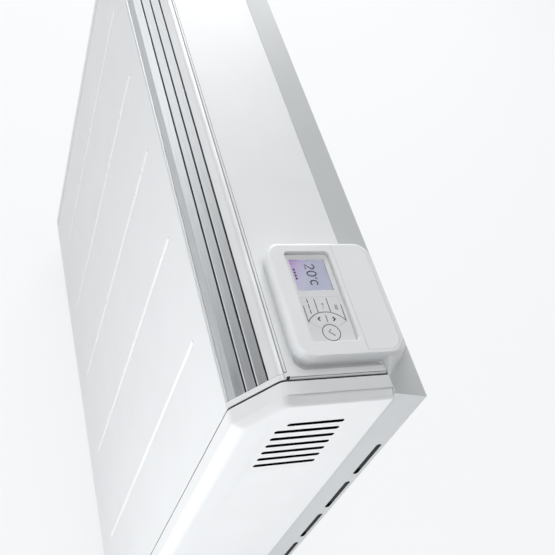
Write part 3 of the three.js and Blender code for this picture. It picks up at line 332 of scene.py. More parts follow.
def make_camera():
    data = bpy.data.cameras.new("camera")
    data.lens = CAMERA_LENS
    data.clip_start = 0.01
    camera = add_object("camera", data)
    right = Vector(CAMERA_RIGHT).normalized()
    up = Vector(CAMERA_UP)
    up = (up - right * up.dot(right)).normalized()
    back = right.cross(up)
    for column, axis in enumerate((right, up, back)):
        for row in range(3):
            camera.matrix_world[row][column] = axis[row]
    camera.matrix_world.translation = CAMERA_PLACE
    bpy.context.scene.camera = camera


def softbox(name, place, target, size, power):
    data = bpy.data.lights.new(name, "AREA")
    data.shape = "RECTANGLE"
    data.size, data.size_y = size
    data.energy = power
    light = add_object(name, data)
    light.location = place
    light.rotation_euler = (Vector(target) - Vector(place)).to_track_quat("-Z", "Y").to_euler()
    light.visible_camera = False


def make_studio():
    scene = bpy.context.scene
    scene.view_settings.view_transform = "Standard"
    world = bpy.data.worlds.new("studio")
    world.use_nodes = True
    background = world.node_tree.nodes["Background"]
    background.inputs["Color"].default_value = (*WORLD_COLOUR, 1)
    background.inputs["Strength"].default_value = WORLD_STRENGTH
    scene.world = world
    for light in SOFTBOXES:
        softbox(*light)


# ---- materials ----

POWDER_GRAIN = 900
TOOL_GRAIN = 2600
TOOL_GRAIN_DEPTH = 0.008
BRUSH_DEPTH = 0.004
BRUSH_SPREAD = 0.3

materials = {}


def new_material(name, colour, roughness, **sockets):
    """Material with one Principled shader; sockets names further constants of it."""
    material = bpy.data.materials.new(name)
    material.use_nodes = True
    shader = material.node_tree.nodes["Principled BSDF"]
    shader.inputs["Base Color"].default_value = (*colour, 1)
    shader.inputs["Roughness"].default_value = roughness
    for socket, value in sockets.items():
        shader.inputs[socket.replace("_", " ")].default_value = value
    materials[name] = material
    return material


def add_node(material, kind, **values):
    node = material.node_tree.nodes.new(kind)
    for key, value in values.items():
        if key in node.inputs:
            node.inputs[key].default_value = value
        else:
            setattr(node, key, value)
    return node


def connect(material, start, end):
    material.node_tree.links.new(start, end)


def noise(material, scale, detail=3.0, stretch=(1, 1, 1)):
    """Noise value over the piece's own metres, drawn out along an axis by stretch."""
    place = add_node(material, "ShaderNodeTexCoord")
    mapping = add_node(material, "ShaderNodeMapping", Scale=stretch)
    texture = add_node(material, "ShaderNodeTexNoise", Scale=scale, Detail=detail)
    connect(material, place.outputs["Object"], mapping.inputs["Vector"])
    connect(material, mapping.outputs["Vector"], texture.inputs["Vector"])
    return texture.outputs["Fac"]


def vary_colour(material, value, dark, light):
    """Base colour between dark and light by a noise value."""
    shader = material.node_tree.nodes["Principled BSDF"]
    ramp = add_node(material, "ShaderNodeValToRGB")
    ramp.color_ramp.elements[0].position = 0.3
    ramp.color_ramp.elements[0].color = (*dark, 1)
    ramp.color_ramp.elements[1].position = 0.7
    ramp.color_ramp.elements[1].color = (*light, 1)
    connect(material, value, ramp.inputs["Fac"])
    connect(material, ramp.outputs["Color"], shader.inputs["Base Color"])


def vary_roughness(material, value, low, high):
    shader = material.node_tree.nodes["Principled BSDF"]
    spread = add_node(material, "ShaderNodeMapRange")
    spread.inputs["From Min"].default_value = 0.3
    spread.inputs["From Max"].default_value = 0.7
    spread.inputs["To Min"].default_value = low
    spread.inputs["To Max"].default_value = high
    connect(material, value, spread.inputs["Value"])
    connect(material, spread.outputs["Result"], shader.inputs["Roughness"])


def add_bump(material, value, depth):
    """Bump of a real depth in millimetres."""
    shader = material.node_tree.nodes["Principled BSDF"]
    bump = add_node(material, "ShaderNodeBump", Distance=depth * MM)
    connect(material, value, bump.inputs["Height"])
    connect(material, bump.outputs["Normal"], shader.inputs["Normal"])


def tone(colour, factor):
    return tuple(min(1.0, channel * factor) for channel in colour)


def painted(name, colour, roughness, depth=0.012, metallic=0.0):
    """Powder coat: fine orange peel, faint clouding of colour and gloss."""
    material = new_material(name, colour, roughness, Metallic=metallic)
    vary_colour(material, noise(material, 14), tone(colour, 0.985), tone(colour, 1.01))
    vary_roughness(material, noise(material, 35), roughness - 0.04, roughness + 0.04)
    add_bump(material, noise(material, POWDER_GRAIN, 2.0), depth)


def moulded(name, colour, roughness, shine=0.5):
    """Moulded plastic with the fine grain of an eroded tool."""
    material = new_material(name, colour, roughness, Specular_IOR_Level=shine)
    vary_colour(material, noise(material, 22), tone(colour, 0.985), tone(colour, 1.01))
    vary_roughness(material, noise(material, 60), roughness - 0.03, roughness + 0.05)
    add_bump(material, noise(material, TOOL_GRAIN), TOOL_GRAIN_DEPTH)


def brushed(name, colour, roughness, stretch, metallic=1.0, across=None):
    """Metal brushed along the axis where stretch is smallest; its shine spreads along across."""
    material = new_material(name, colour, roughness, Metallic=metallic)
    if across:
        shader = material.node_tree.nodes["Principled BSDF"]
        shader.inputs["Anisotropic"].default_value = BRUSH_SPREAD
        axis = add_node(material, "ShaderNodeCombineXYZ")
        for socket, value in zip(axis.inputs, across):
            socket.default_value = value
        connect(material, axis.outputs["Vector"], shader.inputs["Tangent"])
    streaks = noise(material, 1500, 4.0, stretch)
    vary_colour(material, streaks, tone(colour, 0.86), tone(colour, 1.06))
    vary_roughness(material, streaks, roughness - 0.06, roughness + 0.08)
    add_bump(material, streaks, BRUSH_DEPTH)


def galvanised(name, colour):
    """Zinc-coated sheet with its crystal spangle."""
    material = new_material(name, colour, 0.45, Metallic=1.0)
    place = add_node(material, "ShaderNodeTexCoord")
    cells = add_node(material, "ShaderNodeTexVoronoi", Scale=140.0)
    connect(material, place.outputs["Object"], cells.inputs["Vector"])
    shade = add_node(material, "ShaderNodeSeparateColor")
    connect(material, cells.outputs["Color"], shade.inputs["Color"])
    vary_colour(material, shade.outputs["Red"], tone(colour, 0.88), tone(colour, 1.05))
    vary_roughness(material, shade.outputs["Green"], 0.38, 0.55)
    add_bump(material, noise(material, 500), 0.01)


def rough_block(name, dark, light, scale, depth):
    """Pressed block or board: speckled and matt, with a coarse surface."""
    material = new_material(name, light, 0.9)
    speckle = noise(material, scale, 6.0)
    vary_colour(material, speckle, dark, light)
    add_bump(material, noise(material, scale * 2, 5.0), depth)


def display_face():
    """Backlit display: lavender, with a purple patch at its front left corner."""
    material = new_material("display_face", (0.42, 0.42, 0.6), 0.35)
    shader = material.node_tree.nodes["Principled BSDF"]
    place = add_node(material, "ShaderNodeTexCoord")
    split = add_node(material, "ShaderNodeSeparateXYZ")
    connect(material, place.outputs["Object"], split.inputs["Vector"])
    low, high = box("display_window")
    shares = []
    for axis in "XY":
        start, end = getattr(low, axis.lower()) * MM, getattr(high, axis.lower()) * MM
        share = add_node(material, "ShaderNodeMapRange")
        share.inputs["From Min"].default_value = start
        share.inputs["From Max"].default_value = end
        connect(material, split.outputs[axis], share.inputs["Value"])
        shares.append(share.outputs["Result"])
    across = add_node(material, "ShaderNodeMath", operation="MULTIPLY_ADD")
    across.inputs[1].default_value = 0.55
    connect(material, shares[0], across.inputs[0])
    connect(material, shares[1], across.inputs[2])
    ramp = add_node(material, "ShaderNodeValToRGB")
    ramp.color_ramp.elements[0].position = 0.02
    ramp.color_ramp.elements[0].color = (0.37, 0.21, 0.43, 1)
    ramp.color_ramp.elements[1].position = 0.62
    ramp.color_ramp.elements[1].color = (0.385, 0.393, 0.47, 1)
    middle = ramp.color_ramp.elements.new(0.3)
    middle.color = (0.40, 0.345, 0.49, 1)
    corner = ramp.color_ramp.elements.new(1.5 / 1.55)
    corner.color = (0.36, 0.375, 0.45, 1)
    connect(material, across.outputs["Value"], ramp.inputs["Fac"])
    connect(material, ramp.outputs["Color"], shader.inputs["Base Color"])
    connect(material, ramp.outputs["Color"], shader.inputs["Emission Color"])
    shader.inputs["Emission Strength"].default_value = 0.55


def make_materials():
    white = (0.80, 0.815, 0.825)
    painted("white_enamel", white, 0.34)
    # Lighter copy of the white enamel for the pressed ribs: a painted highlight
    painted("rib_white", (0.93, 0.94, 0.95), 0.3)
    painted("white_gloss", (0.83, 0.84, 0.85), 0.4, depth=0.004, metallic=0.24)
    painted("grey_enamel", (0.56, 0.58, 0.59), 0.42)
    # Dark grey for the bead's grooves and the fold lines: painted shade, not the sheet's own colour
    painted("groove_grey", (0.27, 0.28, 0.285), 0.6)
    brushed("brushed_aluminium", (0.80, 0.82, 0.84), 0.34, (0.02, 1, 1), across=GRILLE_UP)
    # Brighter copy of the brushed aluminium for the grille's lip: a painted highlight
    brushed("lip_painted_highlight", (0.93, 0.94, 0.95), 0.3, (0.02, 1, 1), metallic=0.6)
    brushed("anodised_strip", (0.60, 0.62, 0.64), 0.5, (0.02, 1, 1), metallic=0.3)
    brushed("element_sheath", (0.12, 0.12, 0.125), 0.5, (0.05, 1, 1))
    galvanised("galvanised_steel", (0.56, 0.58, 0.60))
    moulded("white_moulding", (0.81, 0.825, 0.835), 0.38)
    moulded("dark_moulding", (0.018, 0.018, 0.02), 0.5)
    moulded("matt_black", (0.018, 0.02, 0.022), 0.85, shine=0.25)
    # Near-black for the louvres' walls, the sheet behind them and the slots' lower ends: painted shade
    moulded("void_black", (0.002, 0.002, 0.002), 0.9, shine=0.02)
    # Mid grey for the sheet under the pod's right-hand end: painted shade
    moulded("pod_shade_grey", (0.54, 0.55, 0.56), 0.6)
    # Dark grey for the sheet under the slats: painted shade in their gaps
    moulded("gap_shade_grey", (0.16, 0.165, 0.17), 0.7)
    moulded("key_grey", (0.70, 0.707, 0.715), 0.5)
    moulded("key_rubber", (0.35, 0.35, 0.35), 0.75)
    moulded("circuit_board", (0.01, 0.09, 0.03), 0.4)
    moulded("red_moulding", (0.35, 0.02, 0.015), 0.35)
    moulded("ink", (0.03, 0.032, 0.036), 0.5)
    moulded("display_ink", (0.02, 0.018, 0.04), 0.5)
    rough_block("storage_brick", (0.05, 0.035, 0.03), (0.12, 0.08, 0.065), 260, 0.3)
    rough_block("insulation_board", (0.55, 0.52, 0.44), (0.72, 0.69, 0.60), 420, 0.15)
    new_material("clear_window", (0.97, 0.97, 1.0), 0.03, Transmission_Weight=1.0, IOR=1.2)
    display_face()


# ---- mesh helpers ----


def add_mesh(name, points, faces, material):
    """Object of a mesh given in millimetres."""
    mesh = bpy.data.meshes.new(name)
    mesh.from_pydata([tuple(c * MM for c in point) for point in points], [], faces)
    mesh.materials.append(materials[material])
    return add_object(name, mesh)


def new_piece(name, points, faces, slot, body=BODY, material=None, replaces=(), sharp=32):
    """Piece of a closed mesh, shaded smooth below the sharp angle in degrees."""
    piece = add_mesh(name, points, faces, material or slot)
    finish_shading(piece, sharp)
    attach(piece, body)
    if replaces:
        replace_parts(piece, *replaces)
    return piece


def finish_shading(piece, sharp=32):
    mesh = piece.data
    mesh.validate()
    face_outward(mesh)
    mesh.shade_smooth()
    mesh.set_sharp_from_angle(angle=math.radians(sharp))


def face_outward(mesh):
    """Turns all faces over if the closed mesh is inside out."""
    volume = 0.0
    for polygon in mesh.polygons:
        corners = [mesh.vertices[i].co for i in polygon.vertices]
        for i in range(1, len(corners) - 1):
            volume += corners[0].dot(corners[i].cross(corners[i + 1]))
    if volume < 0:
        mesh.flip_normals()


def soften(piece, width, angle, segments):
    """Rounds the edges that are sharper than an angle, and keeps flat faces flat."""
    bevel = piece.modifiers.new("soft_edges", "BEVEL")
    bevel.width = width * MM
    bevel.segments = segments
    bevel.limit_method = "ANGLE"
    bevel.angle_limit = math.radians(angle)
    bevel.harden_normals = False
    keep_flat(piece)


def keep_flat(piece):
    weighted = piece.modifiers.new("flat_faces", "WEIGHTED_NORMAL")
    weighted.keep_sharp = True
    weighted.weight = 80


def combine(piece, tools, operation):
    """Boolean of a piece with other objects, which are used up. Cut faces take the tool's material."""
    for tool in tools:
        modifier = piece.modifiers.new("shape", "BOOLEAN")
        modifier.operation = operation
        modifier.solver = "EXACT"
        modifier.material_mode = "TRANSFER"
        modifier.object = tool
    made = piece.evaluated_get(bpy.context.evaluated_depsgraph_get())
    mesh = bpy.data.meshes.new_from_object(made)
    old = piece.data
    piece.modifiers.clear()
    piece.data = mesh
    bpy.data.meshes.remove(old)
    for tool in tools:
        bpy.data.objects.remove(tool)
    finish_shading(piece)


def tool(points, faces, material="white_moulding"):
    """Object for a boolean, which uses it up."""
    thing = add_mesh("tool", points, faces, material)
    face_outward(thing.data)
    thing.data.shade_smooth()
    return thing


def loft(rings, closed=False):
    """Points and faces of a skin over rings with equal counts; closed joins the last ring to the first."""
    count = len(rings[0])
    points = [point for ring in rings for point in ring]
    faces = []
    for r in range(len(rings) if closed else len(rings) - 1):
        here, there = r * count, ((r + 1) % len(rings)) * count
        for i in range(count):
            after = (i + 1) % count
            faces.append((here + i, here + after, there + after, there + i))
    if not closed:
        faces.append(tuple(reversed(range(count))))
        faces.append(tuple(range((len(rings) - 1) * count, len(rings) * count)))
    return points, faces


def along_x(outline, start, end):
    """Prism of an outline of (y, z) points."""
    return loft([[(start, y, z) for y, z in outline], [(end, y, z) for y, z in outline]])


def along_z(outline, start, end):
    """Prism of an outline of (x, y) points."""
    return loft([[(x, y, start) for x, y in outline], [(x, y, end) for x, y in outline]])


def rounded(corners, radii, steps=6):
    """Polygon with each corner rounded by its own radius."""
    result = []
    count = len(corners)
    for i, corner in enumerate(corners):
        radius = radii[i] if isinstance(radii, (list, tuple)) else radii
        here = Vector(corner)
        before = Vector(corners[i - 1]) - here
        after = Vector(corners[(i + 1) % count]) - here
        if radius <= 0:
            result.append(tuple(here))
            continue
        half = before.angle(after) / 2
        reach = min(radius / math.tan(half), before.length / 2.02, after.length / 2.02)
        inner = reach * math.tan(half)
        bisector = (before.normalized() + after.normalized()).normalized()
        centre = here + bisector * (inner / math.sin(half))
        start = here + before.normalized() * reach - centre
        end = here + after.normalized() * reach - centre
        turn = math.atan2(start.x * end.y - start.y * end.x, start.dot(end))
        for k in range(steps + 1):
            angle = turn * k / steps
            cos, sin = math.cos(angle), math.sin(angle)
            spoke = Vector((start.x * cos - start.y * sin, start.x * sin + start.y * cos))
            result.append(tuple(centre + spoke))
    return result


def rectangle(x, y, radius, steps=6):
    return rounded([(x[0], y[0]), (x[1], y[0]), (x[1], y[1]), (x[0], y[1])], radius, steps)


def on_side(side, points):
    """Points made for the right-hand side, mirrored where side is -1."""
    return [(side * x, y, z) for x, y, z in points]


def bezier(p0, p1, p2, p3, steps):
    """Points of a cubic curve in a plane."""
    points = []
    for i in range(steps + 1):
        t = i / steps
        weights = ((1 - t) ** 3, 3 * t * (1 - t) ** 2, 3 * t * t * (1 - t), t**3)
        points.append(tuple(sum(w * p[k] for w, p in zip(weights, (p0, p1, p2, p3))) for k in (0, 1)))
    return points


def on_grille(along, out):
    """(y, z) of a point along the grille's slope and out from it."""
    cos, sin = GRILLE_RUN / GRILLE_LENGTH, GRILLE_RISE / GRILLE_LENGTH
    return FRONT + along * cos - out * sin, TOP - GRILLE_RISE + along * sin + out * cos


# ---- casing ----


def pan(outline, depth_axis, face, direction, depth, bend=BEND):
    """Sheet-metal pan with rounded bends. outline gives a ring of pairs for an inset."""
    rings = []

    def add_ring(inset, down):
        level = face + direction * down
        rings.append([(u, level, v) if depth_axis == "y" else (u, v, level) for u, v in outline(inset)])

    inner = bend - SHEET
    add_ring(bend, SHEET)
    for k in range(1, BEND_STEPS + 1):
        angle = math.pi / 2 * k / BEND_STEPS
        add_ring(SHEET + inner * (1 - math.sin(angle)), SHEET + inner * (1 - math.cos(angle)))
    add_ring(SHEET, depth)
    add_ring(0, depth)
    for k in range(BEND_STEPS, -1, -1):
        angle = math.pi / 2 * k / BEND_STEPS
        add_ring(bend * (1 - math.sin(angle)), bend * (1 - math.cos(angle)))
    return loft(rings)


def rib_tool(x, low, high):
    """Half-round rib with rounded ends."""
    rings = []
    half = RIB_WIDTH / 2
    for k in range(RIB_STEPS + 1):
        angle = math.pi / 2 * k / RIB_STEPS
        reach = half * max(math.cos(angle), RIB_CREST)
        level = RIB_HEIGHT * math.sin(angle) if k else -FIT
        height = (low + half - reach, high - half + reach)
        ring = rectangle((x - reach, x + reach), height, reach * RIB_END_ROUNDING, 6)
        rings.append([(u, FRONT - level, v) for u, v in ring])
    # The rib faces take the lighter white, which paints their highlight
    return tool(*loft(rings), "rib_white")


def front_panel():
    upper = TOP - GRILLE_RISE - FIT

    def outline(inset):
        return rectangle((-PANEL_END + inset, PANEL_END - inset), (BOTTOM + inset, upper - inset), 0.8, 3)

    panel = new_piece("front_sheet", *pan(outline, "y", FRONT, 1, FLANGE), "white_enamel",
                      replaces=["front_panel"])
    ribs = []
    for i in range(RIB_COUNT):
        x = (i - (RIB_COUNT - 1) / 2) * RIB_PITCH
        ribs.append(rib_tool(x, BOTTOM + RIB_BOTTOM_MARGIN, TOP - RIB_TOP_DROP))
    combine(panel, ribs, "UNION")
    keep_flat(panel)


def grille_bar(name, profile, radii, node=None, material=None):
    """Bar along the grille, whose profile is given along the slope and out from it."""
    outline = rounded(trimmed([on_grille(*point) for point in profile]), radii, 4)
    bar = new_piece(name, *along_x(outline, -GRILLE_INNER, GRILLE_INNER), "brushed_aluminium",
                    material=material, replaces=[node] if node else ())
    keep_flat(bar)


def turned_face(start, inset):
    """Face of the upper rail: up the slope, round the turn and back along the top."""
    points = [on_grille(start, -inset)]
    radius = UPPER_RAIL_RADIUS - inset
    for i in range(TURN_STEPS + 1):
        angle = math.pi / 2 + TURN_ANGLE * (1 - i / TURN_STEPS)
        points.append((RAIL_REAR + radius * math.cos(angle),
                       TOP - UPPER_RAIL_RADIUS + radius * math.sin(angle)))
    points.append((RAIL_REAR + FIT, TOP - inset))
    return points


def trimmed(profile):
    """Leaves out what lies under the front panel's turned-in edge."""
    floor = TOP - GRILLE_RISE
    return [(y, max(z, floor)) for y, z in profile]


def grille():
    # The lip takes the brighter metal, which paints its highlight line
    grille_bar("grille_lip", [(FIT, -LIP_DEPTH), (FIT, 0), (LIP_WIDTH, 0), (LIP_WIDTH, -LIP_DEPTH)],
               [0, 0.8, 0.35, 0], "grille_lower_rail", "lip_painted_highlight")
    near, far = STRIP_REACH
    grille_bar("grille_strip", [(near, -SLAT_LEG), (near, -STRIP_SINK), (far, -STRIP_SINK), (far, -SLAT_LEG)],
               [0, 0.4, 0.2, 0], material="anodised_strip")
    for i in range(SLAT_COUNT):
        start = LOWER_RAIL_WIDTH + FIT + i * SLAT_PITCH
        high, low = SLAT_STEP / 2 if i else 0, -SLAT_STEP / 2
        width, drop = SLAT_ROLL if i else FIRST_ROLL
        grille_bar(f"grille_blade_{i + 1}", [
            (start, -SLAT_LEG), (start, high - drop), (start + width, high), (start + SLAT_WIDTH, low),
            (start + SLAT_WIDTH, low - SLAT_SHEET), (start + SLAT_SHEET, high - SLAT_SHEET - drop),
            (start + SLAT_SHEET, -SLAT_LEG),
        ], [0.2, 0.3, 0.9, 0.2, 0.3, 0.3, 0.2], f"grille_slat_{i + 1}")
    top_rail()
    slat_gap_shade()
    for side, name in SIDES:
        grille_end(side, name)


def top_rail():
    start = LOWER_RAIL_WIDTH + FIT + SLAT_COUNT * SLAT_PITCH
    legs = [on_grille(start + RAIL_SHEET, -SLAT_LEG), on_grille(start, -SLAT_LEG)]
    profile = turned_face(start, 0) + turned_face(start + RAIL_SHEET, RAIL_SHEET)[::-1] + legs
    outline = rounded(profile, [0.8] + [0] * (len(profile) - 1), 4)
    rail = new_piece("grille_top_rail", *along_x(outline, -GRILLE_INNER, GRILLE_INNER), "white_gloss",
                     replaces=["grille_upper_rail"])
    keep_flat(rail)


def slat_gap_shade():
    """Dark grey sheet below the slats, painted shade seen in their gaps."""
    near, far = GAP_SHADE_REACH
    high = -SLAT_LEG - GAP_SHADE_SHEET
    low = high - GAP_SHADE_SHEET
    profile = [on_grille(*p) for p in ((near, high), (far, high), (far, low), (near, low))]
    new_piece("grille_gap_shade", *along_x(profile, -GRILLE_INNER, GRILLE_INNER), "dark_moulding",
              material="gap_shade_grey")


def grille_end(side, name):
    profile = trimmed(turned_face(FIT, 0) + turned_face(FIT, SLAT_LEG)[::-1])
    points, faces = along_x(profile, PANEL_END - GRILLE_END_WIDTH, PANEL_END)
    trim = new_piece(f"grille_trim_{name}", on_side(side, points), faces, "white_moulding",
                     replaces=[f"grille_end_{name}"])
    soften(trim, 0.7, 50, 3)


def top_panel():
    start, end = top_low.y, top_high.y

    def outline(inset):
        front, rear = (inset * share for share in TOP_BEND_SHARES)
        depth = (start + front, end + TOP_REACH - rear)
        return rectangle((-PANEL_END + inset, PANEL_END - inset), depth, 0.3, 3)

    panel = new_piece("top_sheet", *pan(outline, "z", TOP, -1, FLANGE, TOP_BEND), "white_enamel",
                      replaces=["top_panel"])
    middle = start + BEAD_WIDTH / 2 + BEAD_GROOVE
    groove = bead_outline(middle, BEAD_WIDTH / 2 + BEAD_GROOVE)
    # The cut faces of the grooves and fold lines take the dark grey: painted shade
    cutters = [tool(*along_z(groove, TOP - BEAD_GROOVE_DEPTH, TOP + 1), "groove_grey")]
    notch = along_z([(PANEL_END + x, start + y) for x, y in NOTCH], TOP - NOTCH_DEPTH, TOP + 1)
    fold_x = (PANEL_END - FOLD_PLACE, PANEL_END - FOLD_PLACE + FOLD_SHADE_WIDTH)
    fold = along_z(rectangle(fold_x, (start + FOLD_START, end + 1), 0.1, 2), TOP - FOLD_DEPTH, TOP + 1)
    reach = [[base + value for value in pair] for base, pair in zip((PANEL_END, start, TOP), NOTCH_SHADE)]
    notch_shade_box = along_z(rectangle(reach[0], reach[1], 0.5, 2), *reach[2])
    for side, name in SIDES:
        cutters.append(tool(on_side(side, notch[0]), notch[1], "white_enamel"))
        cutters.append(tool(on_side(side, fold[0]), fold[1], "groove_grey"))
        # Dark block in each corner notch: painted shade
        new_piece(f"corner_notch_shade_{name}", on_side(side, notch_shade_box[0]), notch_shade_box[1], "dark_moulding")
    combine(panel, cutters, "DIFFERENCE")
    combine(panel, [bead(middle)], "UNION")
    keep_flat(panel)


def bead(middle):
    """Raised bead with a rounded crest and ends."""
    rings = []
    for k in range(BEAD_STEPS + 1):
        angle = math.pi / 2 * k / BEAD_STEPS
        half = BEAD_WIDTH / 2 - BEAD_ROUNDING * (1 - math.cos(angle))
        level = TOP + BEAD_SIDE + (BEAD_HEIGHT - BEAD_SIDE) * math.sin(angle) if k else TOP - BEAD_FOOT
        rings.append([(x, y, level) for x, y in bead_outline(middle, half)])
    return tool(*loft(rings), "white_enamel")


def bead_outline(middle, half):
    """Long narrow outline with rounded ends, along the top's front edge."""
    bead_end = PANEL_END - BEAD_END_MARGIN + half - BEAD_WIDTH / 2
    return rectangle((-bead_end, bead_end), (middle - half, middle + half), half * BEAD_END_ROUNDING, 6)


def cap_outline(x, share, wall, rear):
    """Outline of an end cap in its Y-Z plane, drawn in by a share of its insets."""
    in_front = CAP_FRONT_INSET * share**CAP_FRONT_CURVE + wall
    in_slope = CAP_SLOPE_INSET * share**CAP_SLOPE_CURVE + wall
    in_top = CAP_TOP_INSET * share + wall
    low = BOTTOM + CAP_BOTTOM_INSET * share + wall
    knee = TOP - GRILLE_RISE + (in_front * GRILLE_RISE - in_slope * GRILLE_LENGTH) / GRILLE_RUN
    crest = FRONT + (in_slope * GRILLE_LENGTH + (GRILLE_RISE - in_top) * GRILLE_RUN) / GRILLE_RISE
    corners = [(FRONT + in_front, low), (FRONT + in_front, knee), (crest, TOP - in_top),
               (rear, TOP - in_top), (rear, low)]
    return [(x, y, z) for y, z in rounded(corners, CAP_CORNERS, 8)]


def cove_cutter():
    """Cut below the end cap's top strip, which runs out towards the front."""
    rings = []
    for y, share in (*COVE_FADE, (REAR_EDGE - FRONT + 1, 1.0)):
        rings.append([(SEAM + CAP_FLAT + u * share, FRONT + y, TOP + v * share) for u, v in COVE])
    return loft(rings)


def field_cutter(face):
    """Shallow wedge cut round the louvres, with a step at its front and none at its rear."""
    front, rear = FRONT + FIELD_FRONT, FRONT + FIELD_REAR
    levels = (TOP - FIELD_DROPS[0], TOP - FIELD_DROPS[1], BOTTOM + FIELD_LOW_MARGIN)
    rings = []
    for level, step in zip(levels, (0.01, FIELD_STEP, FIELD_STEP)):
        rings.append([(face + 1, front, level), (face - step, front, level),
                      (face + 0.001, rear, level), (face + 1, rear, level)])
    return loft(rings)


def louvre_field(margin, low):
    return rectangle((FRONT + LOUVRE_FRONT - margin, FRONT + LOUVRE_REAR + margin), (low, LOUVRES_HIGH), 3, 3)


def cap_skin():
    """Outside of an end cap, from the seam to its flat face."""
    rings = []
    for k in range(5):
        angle = math.pi / 2 * k / 4
        x = SEAM + CAP_LIP * (1 - math.cos(angle))
        rings.append(cap_outline(x, 0, CAP_LIP * (1 - math.sin(angle)), REAR_EDGE))
    for across, share in bezier(*CAP_TURN, 12):
        x = SEAM + CAP_FLAT + (CAP_WIDTH - CAP_FLAT) * across
        rings.append(cap_outline(x, share, 0, REAR_EDGE))
    return loft(rings)


def cap_cutters():
    """What is cut out of an end cap: its hollow, thin wall, cove, field and louvres, whose cut walls are
    painted black as shade.
    """
    face = SEAM + CAP_WIDTH
    hollow = [cap_outline(SEAM - 1, 0, CAP_WALL, REAR_EDGE + 1)]
    for across, share in CAP_HOLLOW:
        x = SEAM + CAP_FLAT - 1 + (CAP_WIDTH - CAP_FLAT - CAP_WALL + 1) * across
        hollow.append(cap_outline(x, share, CAP_WALL, REAR_EDGE + 1))
    thin = along_x(louvre_field(LOUVRE_MARGIN, LOUVRES_LOW), face - CAP_WALL - 1,
                   face - LOUVRE_WALL - FIELD_STEP)
    shapes = (loft(hollow), thin, cove_cutter(), field_cutter(face))
    cutters = [(*shape, "white_moulding") for shape in shapes]
    for i in range(LOUVRE_COUNT):
        z = TOP - LOUVRE_DROP - i * LOUVRE_PITCH
        start = FRONT + (LOUVRE_FRONT if i else LOUVRE_FIRST_FRONT)
        slot = rectangle((start, FRONT + LOUVRE_REAR), (z - LOUVRE_HEIGHT / 2, z + LOUVRE_HEIGHT / 2),
                         LOUVRE_HEIGHT / 2 - 0.05, 5)
        cutters.append((*along_x(slot, face - CAP_WALL, face + 1), "void_black"))
    return cutters


def seam_painted_shade():
    """Dark ring in the seam between an end cap and the casing: painted shade that blackens the gap."""
    outer, inner = (cap_outline(0, 0, inset, REAR_EDGE - 1) for inset in SEAM_SHADE_INSETS)
    near, far = SEAM - SEAM_GAP + SEAM_SHADE_FIT, SEAM - SEAM_SHADE_FIT
    rings = ((near, inner), (near, outer), (far, outer), (far, inner))
    return loft([[(x, y, z) for _, y, z in ring] for x, ring in rings], closed=True)


def end_cap(side, name):
    points, faces = cap_skin()
    cap = new_piece(f"cap_{name}", on_side(side, points), faces, "white_moulding",
                    replaces=[f"end_cap_{name}"])
    cutters = [tool(on_side(side, points), faces, look) for points, faces, look in cap_cutters()]
    combine(cap, cutters, "DIFFERENCE")
    keep_flat(cap)
    x = SEAM + CAP_WIDTH - CAP_WALL - LOUVRE_SHADE_DEPTH
    points, faces = along_x(louvre_field(LOUVRE_SHADE_MARGIN, LOUVRES_LOW - LOUVRE_SHADE_DEPTH * 2), x, x + 1)
    # Black sheet behind the louvres: painted shade
    new_piece(f"louvre_painted_shade_{name}", on_side(side, points), faces, "dark_moulding", material="void_black")
    points, faces = seam_painted_shade()
    new_piece(f"seam_painted_shade_{name}", on_side(side, points), faces, "dark_moulding")


def slot_shades():
    """Painted shade for the rear casing's slots: dark sheets in them, black lower ends and a dark strip
    behind them.
    """
    y = BACK - SLOT_PLACE
    half = SLOT_SHADE_WIDTH / 2
    foot_half = half - FOOT_MARGIN
    for side, name in SIDES:
        for i in range(SLOT_COUNT):
            high = TOP - SLOT_TOP_DROP - i * SLOT_PITCH
            low = high - SLOT_LENGTH
            slot_shade = rectangle((y - half, y + half), (low, high), half - 0.05, 6)
            points, faces = along_x(slot_shade, *(rear_high.x + reach for reach in SLOT_SHADE_REACH))
            new_piece(f"slot_painted_shade_{name}_{i + 1}", on_side(side, points), faces, "dark_moulding",
                      material="matt_black", sharp=50)
            foot = rectangle((y - foot_half, y + foot_half), (low + FOOT_MARGIN, low + SLOT_SHADE_FOOT),
                             FOOT_CORNER, 4)
            points, faces = along_x(foot, *(rear_high.x + reach for reach in FOOT_REACH))
            new_piece(f"slot_low_shade_{name}_{i + 1}", on_side(side, points), faces, "dark_moulding",
                      material="void_black")
        x = side * (rear_high.x - SHADE_STRIP_INSET)
        depth = (BACK - SHADE_STRIP_DEPTHS[0], BACK - SHADE_STRIP_DEPTHS[1])
        strip = rectangle(depth, (BOTTOM + SHADE_STRIP_ENDS[0], TOP - SHADE_STRIP_ENDS[1]), 1, 2)
        new_piece(f"slot_shade_strip_{name}", *along_x(strip, x, x + SHADE_STRIP_SHEET), "dark_moulding")


# ---- control pod ----


def seam_x(distance):
    return SEAM - distance


def slope_level(y):
    """Height of the surface that the pod stands on, from the flat top."""
    past = max(0.0, y - REAR_EDGE)
    return -REAR_DROP * past / (BACK - REAR_EDGE)


